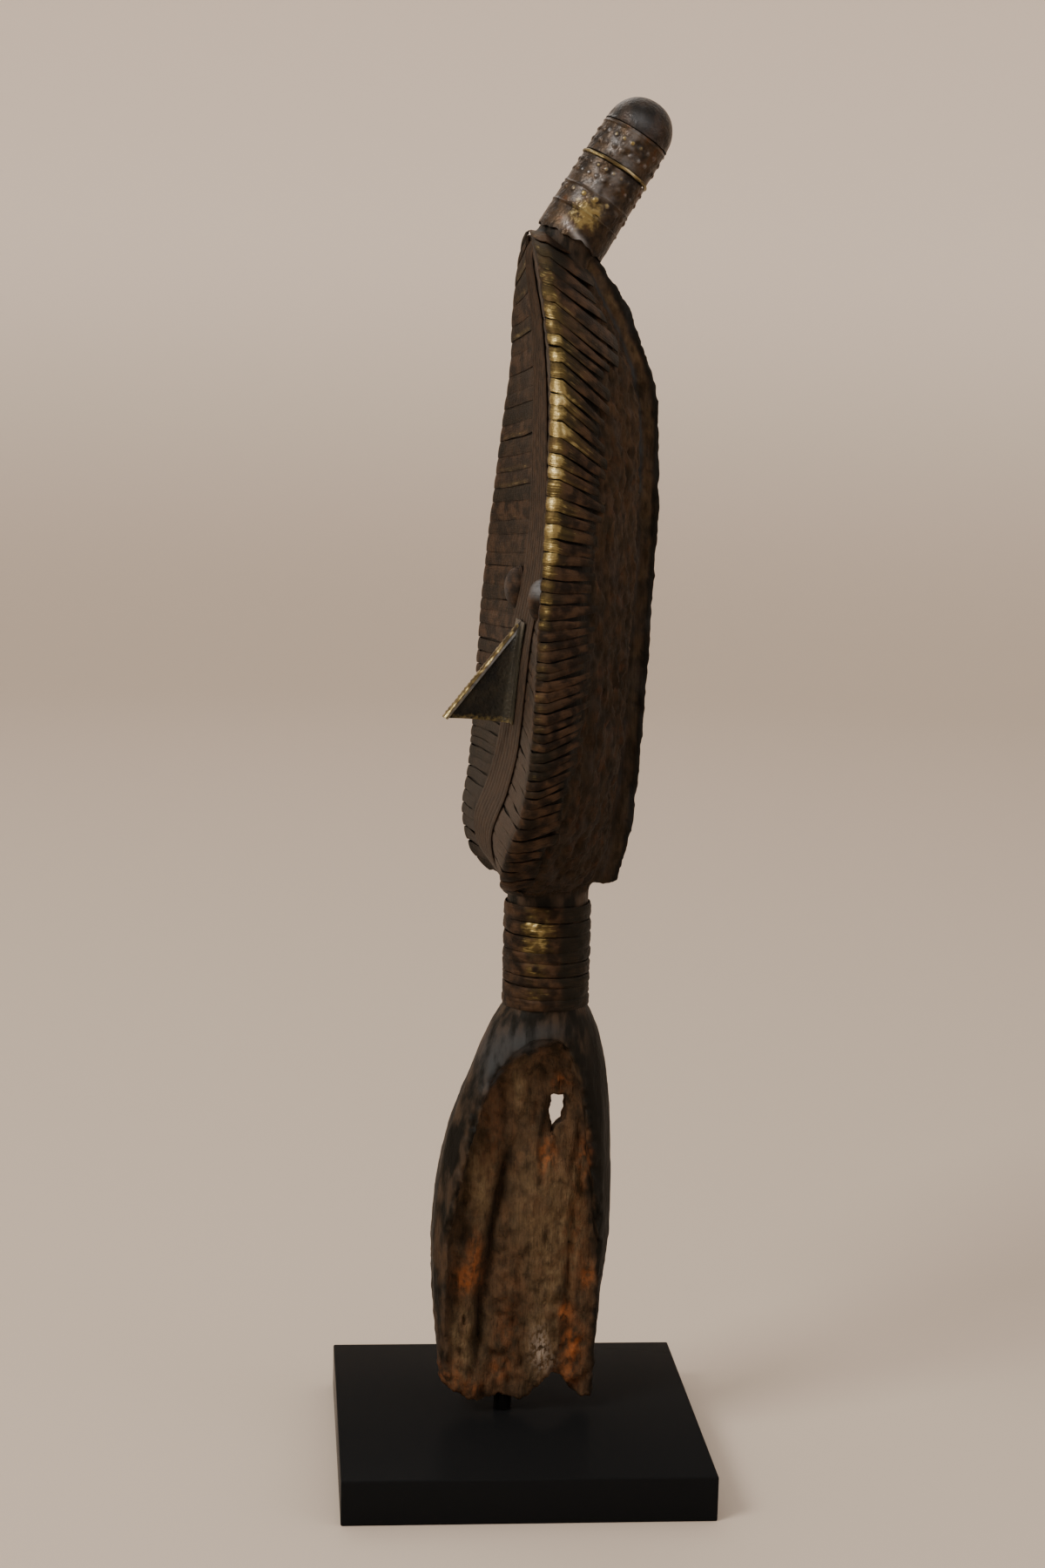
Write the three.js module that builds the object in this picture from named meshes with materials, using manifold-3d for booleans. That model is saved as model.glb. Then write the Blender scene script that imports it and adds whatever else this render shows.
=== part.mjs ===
// Reliquary guardian figure on a black plinth: one carved piece of wood, with a leaf-shaped head, a chignon,
// a neck and an eroded foot, sheathed with brass strips, bands and sheets.
// Millimetres, +Z up. The face looks along -Y and the origin is at the centre of the plinth's underside.
// Heights in the figure's own group are measured from the top of the plinth.
import * as THREE from "three";
import { mergeVertices } from "three/addons/utils/BufferGeometryUtils.js";
import Module from "manifold-3d";

const wasm = await Module();
wasm.setup();

// Plinth and pin
const PLINTH_SIDE = 160;
const PLINTH_HEIGHT = 20;
const PLINTH_BEVEL = 0.8;
const PIN_RADIUS = 4;
const PIN_Y = -6;
const PIN_INTO_WOOD = 8;
const PIN_SIDES = 12;

// The figure stands a little turned on its plinth.
const FIGURE_TURN = THREE.MathUtils.degToRad(4.5);
const TOUCH_GAP = 0.3;

// Head: leaf outline seen from the front
const LEAF_TIP = 519.5;
const LEAF_BASE = 236;
const WIDEST_HEIGHT = 318;
const HEAD_HALF_WIDTH = 80.5;
const TIP_POWER = 1.7;
const BASE_POWER = 2.6;
const RIM_RADIUS = 3.4;
const RIM_MOST_SHARE = 0.3;
const LEAST_HALF_WIDTH = 5;
const LEAST_DEPTH = 1;

// Head: side profiles of the bare wood as [height, y] stations
const FACE_LINE = [
  [237.5, -6],
  [247, -13],
  [255, -18],
  [264, -19.5],
  [284, -13.2],
  [303, -9],
  [345, -5],
  [380, 0.4],
  [400, 1.6],
  [445, 1.2],
  [480, -1],
  [505, -4.8],
  [518, -5.8],
];
const RIM_LINE = [
  [237.5, -7],
  [242, -14],
  [248, -18.6],
  [258, -20],
  [283, -15.5],
  [310, -12.8],
  [355, -11],
  [400, -8.1],
  [430, -6.1],
  [462, -4.4],
  [490, -5.8],
  [518, -6.4],
];
const BACK_LINE = [
  [237.5, 22],
  [243, 30],
  [260, 35],
  [290, 38],
  [344, 40.7],
  [400, 42.8],
  [432, 42.6],
  [456, 39.5],
  [476, 32],
  [495, 22],
  [506, 15],
  [518, -2],
];
const HEAD_ROWS = [
  237.5, 239, 241, 244, 248, 252, 257, 264, 273, 286, 303, 321, 340,
  360, 380, 402, 424, 444, 462, 478, 491, 502, 510, 515, 518,
];
const HOLLOW_POWER = 1.5;
const BACK_POWER = 1.2;

// Rib down the middle of the back
const RIB_LINE = [
  [241, 38.5],
  [244, 41.2],
  [260, 43.5],
  [306, 47.4],
  [360, 49.8],
  [412, 51.4],
  [440, 50.4],
  [458, 47],
  [485, 37.2],
  [506, 23],
];
const RIB_STEPS = 16;
const RIB_ROOT = 14;
const RIB_HALF_WIDTH = 6.8;
const RIB_CHAMFER = 1.3;

// Brass strips on the face
const BAND_HALF_WIDTH = [
  [240, 19],
  [270, 24],
  [330, 24],
  [400, 19],
  [470, 13],
  [500, 8],
  [518, 5],
];
const BAND_STRIPS = 6;
const BAND_SHARE = 0.25;
const BAND_MOST_SHARE = 0.6;
const SKIN_GAP = 0.4;
const GROOVE_OFFSET = 0.9;
const CREST_OFFSET = 1.7;
const STRIP_INNER_DEPTH = 4;
const STRIP_BOTTOM = 243;
const STRIP_TOP = 506;
const STRIP_PITCH = [
  [243, 5.5],
  [283, 4.6],
  [357, 4.8],
  [375, 6.4],
  [509, 6.8],
];
const CREST_PLACE = 0.35;
const STRIP_FACE_FALL = [
  [243, 0.03],
  [340, 0.05],
  [430, 0.15],
  [480, 0.24],
  [496, 0.6],
  [509, 1],
];
const STRIP_BACK_FALL = [
  [243, -0.12],
  [300, -0.38],
  [340, -0.22],
  [368, 0],
  [388, 0.18],
  [422, 0.5],
  [450, 0.85],
  [509, 1],
];
const STRIP_END_LINE = [
  [243, -9],
  [265, -5],
  [322, 7.5],
  [378, 10.5],
  [430, 15],
  [490, 16],
  [509, 9],
];
const STRIP_END_RAGGED = 1.6;
const STRIP_END_LIMITS = [0.05, 0.9];
const STRIP_BACK_PARTS = [0.45, 1];

// Nose blade, its brass lip and the eyes
const NOSE_TOP = { y: -6, z: 354.5 };
const NOSE_TIP = { y: -38.9, z: 312.6 };
const NOSE_FOOT = { y: -7, z: 311 };
const NOSE_SUNK = 10;
const NOSE_EDGE_HALF = 1.3;
const NOSE_ROOT_HALF = 3.4;
const NOSE_CROWN_HALF = 2.7;
const LIP_THICKNESS = 0.7;
const LIP_LEG = 2.6;
const LIP_SPREAD = 0.35;
const LIP_START_SHARE = 0.04;
const EYE_HEIGHT = 366;
const EYE_X = 30;
const EYE_RADIUS = 9;
const EYE_RISE = 5.5;
const EYE_SUNK = 6;
const EYE_STEPS = 4;
const EYE_SIDES = 12;

// Chignon: a cylinder that leans back, measured along its own axis from the crown of the head
const CHIGNON_BASE = { y: 9.4, z: 512.7 };
const CHIGNON_LEAN = THREE.MathUtils.degToRad(31.3);
const CHIGNON_FOOT_RADIUS = 14.7;
const CHIGNON_HEAD_RADIUS = 13.6;
const CHIGNON_DOME_START = 54.2;
const CHIGNON_LENGTH = 69;
const CHIGNON_SUNK = 5;
const DOME_POWER = 2.2;
const DOME_STEPS = 4;
const ROUND_SIDES = 20;
const SHEET_THICKNESS = 0.8;
const SHEET_GAP = 0.35;
const SHEET_EDGE = 0.6;
const CHIGNON_SHEETS = [
  { name: "chignon_collar", from: 1.6, to: 15.2 },
  { name: "chignon_band_lower", from: 15.6, to: 36.4 },
  { name: "chignon_band_upper", from: 38.8, to: 53.8 },
];
const WIRE_FROM = 36.8;
const WIRE_TO = 38.4;
const WIRE_RISE = 0.7;
const NICK_SIZE = 5;
const NICK_ALONG = 65.4;
const NICK_OUT_ALONG = 62;
const NICK_TILT = 0.5;

// Neck and its bands
const NECK_CENTRE_Y = 8.6;
const NECK_RADIUS = 18.1;
const NECK_FOOT = 183;
const NECK_TOP = 241.5;
const NECK_BAND_EDGES = [232.4, 225.5, 219.6, 212.5, 207.5, 201.6, 197.3, 191.5, 186.4];
const NECK_BAND_INNER = NECK_RADIUS + 0.35;
const NECK_BAND_OUTER = 19.3;
const NECK_BAND_BEVEL = 0.9;
const BAND_SIDES = 16;

// Foot: side outline and half-thickness as [height, size] stations
const FOOT_FRONT = [
  [3, -30],
  [17, -34.5],
  [40, -37],
  [76, -39.7],
  [106, -38],
  [128, -34],
  [163, -21.4],
  [178, -15.4],
  [186, -10.4],
];
const FOOT_BACK = [
  [3, 34],
  [53, 36.4],
  [86, 39.8],
  [126, 39.2],
  [150, 37.3],
  [170, 33.7],
  [178, 31.3],
  [186, 27.6],
];
const FOOT_HALF_WIDTH = [
  [3, 19],
  [50, 22.5],
  [100, 24],
  [150, 21.5],
  [186, 18.4],
];
const FOOT_ROWS = [3, 10, 17, 28, 40, 53, 66, 80, 94, 108, 121, 133, 145, 156, 166, 174, 180, 186];
const FOOT_SIDES = 16;
const WEB_HALF = 6;
const RECESS_OUTLINE = [
  [-29, -2],
  [-33.5, 40],
  [-33.5, 82],
  [-27, 118],
  [-17.5, 150],
  [-9, 167],
  [2, 174.5],
  [13, 174],
  [20, 163],
  [25, 140],
  [28, 118],
  [31.5, 88],
  [34, 60],
  [33, -2],
];
const RECESS_REACH = 30;
const SLIT_OUTLINE = [
  [9.8, 120.5],
  [14.6, 129],
  [19.6, 132.5],
  [19.4, 147.4],
  [11.4, 147.6],
];
const BREAK_OUTLINE = [
  [-38, 22],
  [-33, 13],
  [-27, 10],
  [-19.5, 5.5],
  [-12, 8],
  [-3, 6],
  [4.5, 7.5],
  [8.5, 12.5],
  [14.5, 18.5],
  [20, 15],
  [24, 9.5],
  [28, 5.5],
  [33, 5.5],
  [38, 14],
];
const BREAK_LOWEST = Math.min(...BREAK_OUTLINE.map(([, z]) => z));
const BREAK_TILT = THREE.MathUtils.degToRad(5);
const BREAK_CUT_REACH = 50;
const BREAK_CUT_DEPTH = 20;
const PIN_TOP = BREAK_LOWEST + PIN_INTO_WOOD;

const MATERIALS = {
  lacquer: new THREE.MeshStandardMaterial({ color: 0x0d0e0f, roughness: 0.3, metalness: 0 }),
  steel: new THREE.MeshStandardMaterial({ color: 0x24262a, roughness: 0.5, metalness: 1 }),
  wood: new THREE.MeshStandardMaterial({ color: 0x4b3426, roughness: 0.8, metalness: 0 }),
  strips: new THREE.MeshStandardMaterial({ color: 0x6b5a44, roughness: 0.5, metalness: 0.8 }),
  sheet: new THREE.MeshStandardMaterial({ color: 0x3f3024, roughness: 0.45, metalness: 0.8 }),
  bright: new THREE.MeshStandardMaterial({ color: 0x9a7f45, roughness: 0.35, metalness: 1 }),
};

// A smooth curve through [place, value] stations that never overshoots them.
function profile(stations) {
  const x = stations.map(([place]) => place);
  const y = stations.map(([, value]) => value);
  const last = x.length - 1;
  const slope = x.slice(1).map((place, i) => (y[i + 1] - y[i]) / (place - x[i]));
  const tangent = x.map((place, i) => {
    if (i === 0) return slope[0];
    if (i === last) return slope[last - 1];
    const [before, after] = [slope[i - 1], slope[i]];
    return before * after <= 0 ? 0 : (2 * before * after) / (before + after);
  });
  return (place) => {
    const p = THREE.MathUtils.clamp(place, x[0], x[last]);
    let i = 0;
    while (i < last - 1 && p > x[i + 1]) i += 1;
    const span = x[i + 1] - x[i];
    const t = (p - x[i]) / span;
    const rest = 1 - t;
    return (
      y[i] * rest * rest * (1 + 2 * t) +
      tangent[i] * span * t * rest * rest +
      y[i + 1] * t * t * (3 - 2 * t) -
      tangent[i + 1] * span * t * t * rest
    );
  };
}

// A repeatable spread from -1 to 1 for the ragged strip ends.
function ragged(index) {
  const value = Math.sin(index * 12.9898) * 43758.5453;
  return 2 * (value - Math.floor(value)) - 1;
}

// A closed solid from rings of equal length, with flat or nearly flat end rings. The flatten function gives a
// ring's points in two dimensions, where all rings are turned the same way round first.
function loft(sections, flatten) {
  const reversed = THREE.ShapeUtils.isClockWise(sections[0].map(flatten));
  const rings = sections.map((section) => (reversed ? section.slice().reverse() : section));
  const size = rings[0].length;
  const triangles = [];
  for (let r = 0; r + 1 < rings.length; r += 1) {
    for (let i = 0; i < size; i += 1) {
      const next = (i + 1) % size;
      const [a, b] = [r * size + i, r * size + next];
      triangles.push(a, b, b + size, a, b + size, a + size);
    }
  }
  const last = (rings.length - 1) * size;
  for (const [a, b, c] of THREE.ShapeUtils.triangulateShape(rings[0].map(flatten), [])) {
    triangles.push(a, c, b);
  }
  for (const [a, b, c] of THREE.ShapeUtils.triangulateShape(rings.at(-1).map(flatten), [])) {
    triangles.push(last + a, last + b, last + c);
  }
  return new THREE.BufferGeometry().setFromPoints(rings.flat()).setIndex(triangles);
}

// The closed solid of a geometry, turned the right way out.
function solid(geometry) {
  const bare = new THREE.BufferGeometry();
  bare.setAttribute("position", geometry.getAttribute("position"));
  bare.setIndex(geometry.index);
  const merged = mergeVertices(bare, 1e-4);
  const triVerts = new Uint32Array(merged.index.array);
  const vertProperties = merged.attributes.position.array;
  const made = new wasm.Manifold(new wasm.Mesh({ numProp: 3, vertProperties, triVerts }));
  if (made.volume() > 0) return made;
  return new wasm.Manifold(
    new wasm.Mesh({ numProp: 3, vertProperties, triVerts: triVerts.slice().reverse() }),
  );
}

// A geometry from a solid.
function geometryOf(made) {
  const mesh = made.getMesh();
  const geometry = new THREE.BufferGeometry();
  geometry.setAttribute("position", new THREE.BufferAttribute(mesh.vertProperties, 3));
  geometry.setIndex(new THREE.BufferAttribute(mesh.triVerts, 1));
  geometry.computeVertexNormals();
  return geometry;
}

// A named mesh in a group.
function add(group, name, geometry, material) {
  const mesh = new THREE.Mesh(geometry, material);
  mesh.name = name;
  group.add(mesh);
}

// A prism with a [y, z] outline that runs along X from one side to the other.
function sidePrism(outline, fromX, toX) {
  const rings = [fromX, toX].map((x) => outline.map(([y, z]) => new THREE.Vector3(x, y, z)));
  return loft(rings, (p) => new THREE.Vector2(p.y, p.z));
}

const faceLine = profile(FACE_LINE);
const rimLine = profile(RIM_LINE);
const backLine = profile(BACK_LINE);
const bandHalfWidth = profile(BAND_HALF_WIDTH);

// Half the width of the leaf outline at a height.
function leafHalfWidth(z) {
  const up = z > WIDEST_HEIGHT;
  const reach = up ? LEAF_TIP - WIDEST_HEIGHT : WIDEST_HEIGHT - LEAF_BASE;
  const share = Math.min(Math.abs(z - WIDEST_HEIGHT) / reach, 1);
  return HEAD_HALF_WIDTH * Math.sqrt(1 - share ** (up ? TIP_POWER : BASE_POWER));
}

// A point of one half of the head's level section. The place runs from 0 at the middle of the face to 1 where
// the rim begins, round the rim to 2, and over the back to 3 at its middle.
function headPoint(place, z) {
  const halfWidth = Math.max(leafHalfWidth(z), LEAST_HALF_WIDTH);
  const rim = Math.min(RIM_RADIUS, halfWidth * RIM_MOST_SHARE);
  const rimFront = rimLine(z);
  const rimX = halfWidth - rim;
  const bandX = Math.min(bandHalfWidth(z), rimX * BAND_MOST_SHARE);
  const face = faceLine(z);
  if (place <= BAND_SHARE) return new THREE.Vector2((bandX * place) / BAND_SHARE, face);
  if (place <= 1) {
    const t = (place - BAND_SHARE) / (1 - BAND_SHARE);
    return new THREE.Vector2(bandX + (rimX - bandX) * t, face + (rimFront - face) * t ** HOLLOW_POWER);
  }
  if (place <= 2) {
    const angle = ((place - 1) * Math.PI) / 2;
    return new THREE.Vector2(rimX + rim * Math.sin(angle), rimFront + rim * (1 - Math.cos(angle)));
  }
  const angle = ((place - 2) * Math.PI) / 2;
  const start = rimFront + rim;
  const depth = Math.max(backLine(z) - start, LEAST_DEPTH);
  return new THREE.Vector2(
    halfWidth * Math.max(Math.cos(angle), 0) ** BACK_POWER,
    start + depth * Math.sin(angle) ** BACK_POWER,
  );
}

// The same point, moved out of the wood by an offset.
function skinPoint(place, z, offset) {
  const step = 0.02;
  const before = headPoint(Math.max(place - step, 0), z);
  const along = headPoint(Math.min(place + step, 3), z).sub(before).normalize();
  return headPoint(place, z).add(new THREE.Vector2(along.y, -along.x).multiplyScalar(offset));
}

const FACE_PLACES = [BAND_SHARE, 0.6, 1];
const HEAD_PLACES = [0, ...FACE_PLACES, 1.5, 2, 2.2, 2.45, 2.7, 3];

// The head's hull, swollen by an offset.
function headHull(offset) {
  const rings = HEAD_ROWS.map((z) => {
    const half = HEAD_PLACES.map((place) => skinPoint(place, z, offset));
    const other = half.slice(1, -1).reverse();
    return [
      ...half.map((p) => new THREE.Vector3(p.x, p.y, z)),
      ...other.map((p) => new THREE.Vector3(-p.x, p.y, z)),
    ];
  });
  return solid(loft(rings, (p) => new THREE.Vector2(p.x, p.y)));
}

// The rib, a chamfered bar that follows the back, swollen by an offset.
function rib(offset) {
  const ribLine = profile(RIB_LINE);
  const low = RIB_LINE[0][0];
  const high = RIB_LINE.at(-1)[0];
  const rings = [];
  for (let i = 0; i <= RIB_STEPS; i += 1) {
    const z = low + (high - low) * Math.sin((i / RIB_STEPS) * Math.PI * 0.5);
    const crest = ribLine(z) + offset;
    const side = RIB_HALF_WIDTH + offset;
    const section = [
      [-side, crest - RIB_ROOT],
      [side, crest - RIB_ROOT],
      [side, crest - RIB_CHAMFER],
      [side - RIB_CHAMFER, crest],
      [RIB_CHAMFER - side, crest],
      [-side, crest - RIB_CHAMFER],
    ];
    rings.push(section.map(([x, y]) => new THREE.Vector3(x, y, z)));
  }
  return solid(loft(rings, (p) => new THREE.Vector2(p.x, p.y)));
}

// The chignon's radius along its axis, from its foot to the round end.
function chignonRadius(along) {
  if (along <= CHIGNON_DOME_START) {
    return THREE.MathUtils.mapLinear(
      Math.max(along, 0),
      0,
      CHIGNON_DOME_START,
      CHIGNON_FOOT_RADIUS,
      CHIGNON_HEAD_RADIUS,
    );
  }
  const share = (along - CHIGNON_DOME_START) / (CHIGNON_LENGTH - CHIGNON_DOME_START);
  return CHIGNON_HEAD_RADIUS * Math.sqrt(Math.max(1 - share ** DOME_POWER, 0));
}

// Turns a shape made along its own axis to the place of the chignon.
function onChignon(geometry) {
  return geometry
    .rotateX(Math.PI / 2)
    .rotateX(-CHIGNON_LEAN)
    .translate(0, CHIGNON_BASE.y, CHIGNON_BASE.z);
}

// The round end's profile as [radius, along] points, swollen by an offset.
function domeProfile(offset) {
  const points = [];
  for (let i = 0; i <= DOME_STEPS; i += 1) {
    const share = Math.sin(((i / DOME_STEPS) * Math.PI) / 2);
    const along = CHIGNON_DOME_START + (CHIGNON_LENGTH - CHIGNON_DOME_START) * share;
    const end = i === DOME_STEPS;
    points.push(new THREE.Vector2(end ? 0 : chignonRadius(along) + offset, along + offset * share));
  }
  return points;
}

// The wooden chignon, swollen by an offset.
function chignonCore(offset) {
  const points = [
    new THREE.Vector2(0, -CHIGNON_SUNK),
    new THREE.Vector2(CHIGNON_FOOT_RADIUS + offset, -CHIGNON_SUNK),
    ...domeProfile(offset),
  ];
  return solid(onChignon(new THREE.LatheGeometry(points, ROUND_SIDES)));
}

// A sheet bent round the chignon, with its long edges a little turned in.
function chignonSheet(from, to, rise) {
  const inner = (along) => chignonRadius(along) + SHEET_GAP;
  const edge = Math.min(SHEET_EDGE, (to - from) / 3);
  const points = [
    new THREE.Vector2(inner(from), from),
    new THREE.Vector2(inner(from + edge) + rise, from + edge),
    new THREE.Vector2(inner(to - edge) + rise, to - edge),
    new THREE.Vector2(inner(to), to),
    new THREE.Vector2(inner(from), from),
  ];
  return solid(onChignon(new THREE.LatheGeometry(points, ROUND_SIDES)));
}

// The cap, with the nick that is broken out of its back.
function chignonCap() {
  const outside = domeProfile(SHEET_GAP + SHEET_THICKNESS);
  const inside = domeProfile(SHEET_GAP).reverse();
  const cap = solid(onChignon(new THREE.LatheGeometry([...outside, ...inside, outside[0]], ROUND_SIDES)));
  const nick = new THREE.BoxGeometry(NICK_SIZE * 3, NICK_SIZE, NICK_SIZE);
  nick.rotateX(NICK_TILT);
  nick.translate(0, NICK_ALONG, -chignonRadius(NICK_OUT_ALONG) - SHEET_THICKNESS);
  return cap.subtract(solid(onChignon(nick)));
}

// The foot's outer form, before its recesses and its broken end.
function footForm() {
  const front = profile(FOOT_FRONT);
  const back = profile(FOOT_BACK);
  const halfWidth = profile(FOOT_HALF_WIDTH);
  const rings = FOOT_ROWS.map((z) => {
    const middle = (front(z) + back(z)) / 2;
    const depth = (back(z) - front(z)) / 2;
    const ring = [];
    for (let i = 0; i < FOOT_SIDES; i += 1) {
      const angle = ((i + 0.5) / FOOT_SIDES) * 2 * Math.PI;
      const flat = 1 / Math.cos(Math.PI / FOOT_SIDES);
      const x = halfWidth(z) * Math.cos(angle);
      const y = middle + depth * Math.min(Math.max(Math.sin(angle) * flat, -1), 1);
      ring.push(new THREE.Vector3(x, y, z));
    }
    return ring;
  });
  return solid(loft(rings, (p) => new THREE.Vector2(p.x, p.y)));
}

// The foot with a worn recess in each flank, the slit through its web and its broken end.
function foot() {
  const leftRecess = solid(sidePrism(RECESS_OUTLINE, WEB_HALF, RECESS_REACH));
  const rightRecess = solid(sidePrism(RECESS_OUTLINE, -RECESS_REACH, -WEB_HALF));
  const slit = solid(sidePrism(SLIT_OUTLINE, -WEB_HALF * 2, WEB_HALF * 2));
  const below = [
    [BREAK_CUT_REACH, BREAK_CUT_DEPTH],
    [BREAK_CUT_REACH, -BREAK_CUT_DEPTH],
    [-BREAK_CUT_REACH, -BREAK_CUT_DEPTH],
    [-BREAK_CUT_REACH, BREAK_CUT_DEPTH],
  ];
  const brokenEnd = sidePrism([...BREAK_OUTLINE, ...below], -RECESS_REACH, RECESS_REACH);
  const recessed = footForm().subtract(leftRecess).subtract(rightRecess);
  return recessed.subtract(slit).subtract(solid(brokenEnd.rotateZ(BREAK_TILT)));
}

// A post up from the plinth's top.
function pin(radius, height) {
  return new THREE.CylinderGeometry(radius, radius, height, PIN_SIDES)
    .rotateX(Math.PI / 2)
    .translate(0, PIN_Y, height / 2);
}

// The neck as a plain post.
function neck(radius) {
  const height = NECK_TOP - NECK_FOOT;
  const post = new THREE.CylinderGeometry(radius, radius, height, ROUND_SIDES).rotateX(Math.PI / 2);
  return solid(post.translate(0, NECK_CENTRE_Y, NECK_FOOT + height / 2));
}

// The head, rib, neck and chignon, swollen by an offset. The sheathing is cut to this, so it clears the wood.
function carvedHead(offset) {
  return headHull(offset).add(rib(offset)).add(chignonCore(offset)).add(neck(NECK_RADIUS + offset));
}

// The whole carving, with the hole for its pin.
function woodFigure() {
  const pinHole = solid(pin(PIN_RADIUS + TOUCH_GAP, PIN_TOP + TOUCH_GAP));
  return carvedHead(0).add(foot()).subtract(pinHole);
}

// The upright strips in the middle of the face: grooves and crests side by side, lofted up the face line.
function centreBand() {
  const rows = HEAD_ROWS.slice(2, -1);
  const columns = BAND_STRIPS * 2;
  const rings = rows.map((z) => {
    const outer = [];
    const width = headPoint(BAND_SHARE, z).x - TOUCH_GAP / 2;
    for (let i = 0; i <= columns; i += 1) {
      const offset = i % 2 ? CREST_OFFSET : GROOVE_OFFSET;
      outer.push(new THREE.Vector3(width * ((2 * i) / columns - 1), faceLine(z) - offset, z));
    }
    const inside = faceLine(z) + STRIP_INNER_DEPTH;
    return [...outer, new THREE.Vector3(width, inside, z), new THREE.Vector3(-width, inside, z)];
  });
  return solid(loft(rings, (p) => new THREE.Vector2(p.x, p.y))).subtract(carvedHead(SKIN_GAP));
}

const stripFaceFall = profile(STRIP_FACE_FALL);
const stripBackFall = profile(STRIP_BACK_FALL);
const stripEndLine = profile(STRIP_END_LINE);
const stripPitch = profile(STRIP_PITCH);

// One edge of a strip: from the centre band, across the face, round the rim and to its end on the back.
function stripRow(z, offset, endShift) {
  const rim = headPoint(2, z);
  const fall = stripFaceFall(z);
  const row = [];
  const put = (place, height) => {
    const p = skinPoint(place, height, offset);
    row.push(new THREE.Vector3(p.x, p.y, height));
  };
  const room = LEAF_TIP - z;
  for (const place of FACE_PLACES) {
    const rise = fall * (rim.x - headPoint(place, z).x);
    put(place, z + room * (1 - Math.exp(-rise / room)));
  }
  put(1.5, z);
  put(2, z);
  const start = rim.y;
  const wanted = (stripEndLine(z) + endShift - start) / (backLine(z) - start);
  const share = THREE.MathUtils.clamp(wanted, ...STRIP_END_LIMITS);
  const endAngle = Math.asin(share ** (1 / BACK_POWER));
  for (const part of STRIP_BACK_PARTS) {
    const place = 2 + (2 * endAngle * part) / Math.PI;
    const y = headPoint(place, z).y;
    put(place, Math.max(z - stripBackFall(z) * (y - start), HEAD_ROWS[1]));
  }
  const first = row[0].clone();
  row[0].x += TOUCH_GAP / 2;
  first.x += TOUCH_GAP / 2;
  first.y += STRIP_INNER_DEPTH;
  const end = row.at(-1).clone();
  end.x -= STRIP_INNER_DEPTH;
  end.y -= STRIP_INNER_DEPTH * 0.5;
  return [...row, end, first];
}

// All the strips of one half of the face, as one lapped skin. The side is 1 or -1.
function faceStrips(side) {
  const rings = [];
  let z = STRIP_BOTTOM;
  let index = 0;
  while (z < STRIP_TOP) {
    const pitch = stripPitch(z);
    const shift = STRIP_END_RAGGED * ragged(index);
    rings.push(stripRow(z, GROOVE_OFFSET, shift - STRIP_END_RAGGED));
    rings.push(stripRow(z + pitch * CREST_PLACE, CREST_OFFSET, shift));
    z += pitch;
    index += 1;
  }
  const skin = loft(rings, (p) => new THREE.Vector2(p.x, p.y));
  if (side < 0) skin.scale(-1, 1, 1);
  return solid(skin).subtract(carvedHead(SKIN_GAP));
}

// The nose blade: a wedge, thin along its sloping front edge, seated on the centre band.
function nose() {
  const corner = (half, { y, z }) => [new THREE.Vector3(-half, y, z), new THREE.Vector3(half, y, z)];
  const sunk = ({ y, z }) => ({ y: y + NOSE_SUNK, z });
  const top = corner(NOSE_EDGE_HALF, NOSE_TOP);
  const tip = corner(NOSE_EDGE_HALF, NOSE_TIP);
  const root = corner(NOSE_ROOT_HALF, sunk(NOSE_FOOT));
  const crown = corner(NOSE_CROWN_HALF, sunk(NOSE_TOP));
  const rings = [0, 1].map((side) => [top[side], tip[side], root[side], crown[side]]);
  return solid(loft(rings, (p) => new THREE.Vector2(p.y, p.z))).subtract(
    headHull(CREST_OFFSET + TOUCH_GAP),
  );
}

// The lip: a U of brass sheet, pushed over the blade's front edge.
function noseLip() {
  const dy = NOSE_TIP.y - NOSE_TOP.y;
  const dz = NOSE_TIP.z - NOSE_TOP.z;
  const length = Math.hypot(dy, dz);
  const inside = NOSE_EDGE_HALF + TOUCH_GAP;
  const outside = inside + LIP_THICKNESS;
  const section = [
    [-outside, LIP_LEG],
    [-outside, -outside + inside - TOUCH_GAP],
    [outside, -outside + inside - TOUCH_GAP],
    [outside, LIP_LEG],
    [inside + LIP_SPREAD, LIP_LEG],
    [inside, -TOUCH_GAP],
    [-inside, -TOUCH_GAP],
    [-inside - LIP_SPREAD, LIP_LEG],
  ];
  const along = new THREE.Vector3(0, dy, dz).divideScalar(length);
  const inward = new THREE.Vector3(0, -along.z, along.y);
  const rings = [LIP_START_SHARE, 1].map((share) =>
    section.map(([x, depth]) =>
      new THREE.Vector3(x, NOSE_TOP.y, NOSE_TOP.z)
        .addScaledVector(along, length * share)
        .addScaledVector(inward, depth),
    ),
  );
  return solid(loft(rings, (p) => new THREE.Vector2(p.x, p.clone().dot(inward))));
}

// A domed boss on the face strips. The side is 1 or -1.
function eye(side) {
  const points = [new THREE.Vector2(0, -EYE_SUNK), new THREE.Vector2(EYE_RADIUS, -EYE_SUNK)];
  for (let i = 0; i < EYE_STEPS; i += 1) {
    const angle = ((i / EYE_STEPS) * Math.PI) / 2;
    points.push(new THREE.Vector2(EYE_RADIUS * Math.cos(angle), EYE_RISE * Math.sin(angle)));
  }
  points.push(new THREE.Vector2(0, EYE_RISE));
  const dome = new THREE.LatheGeometry(points, EYE_SIDES);
  const face = faceLine(EYE_HEIGHT) - CREST_OFFSET;
  dome.rotateX(Math.PI).translate(side * EYE_X, face, EYE_HEIGHT);
  return solid(dome).subtract(headHull(CREST_OFFSET + TOUCH_GAP));
}

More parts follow.
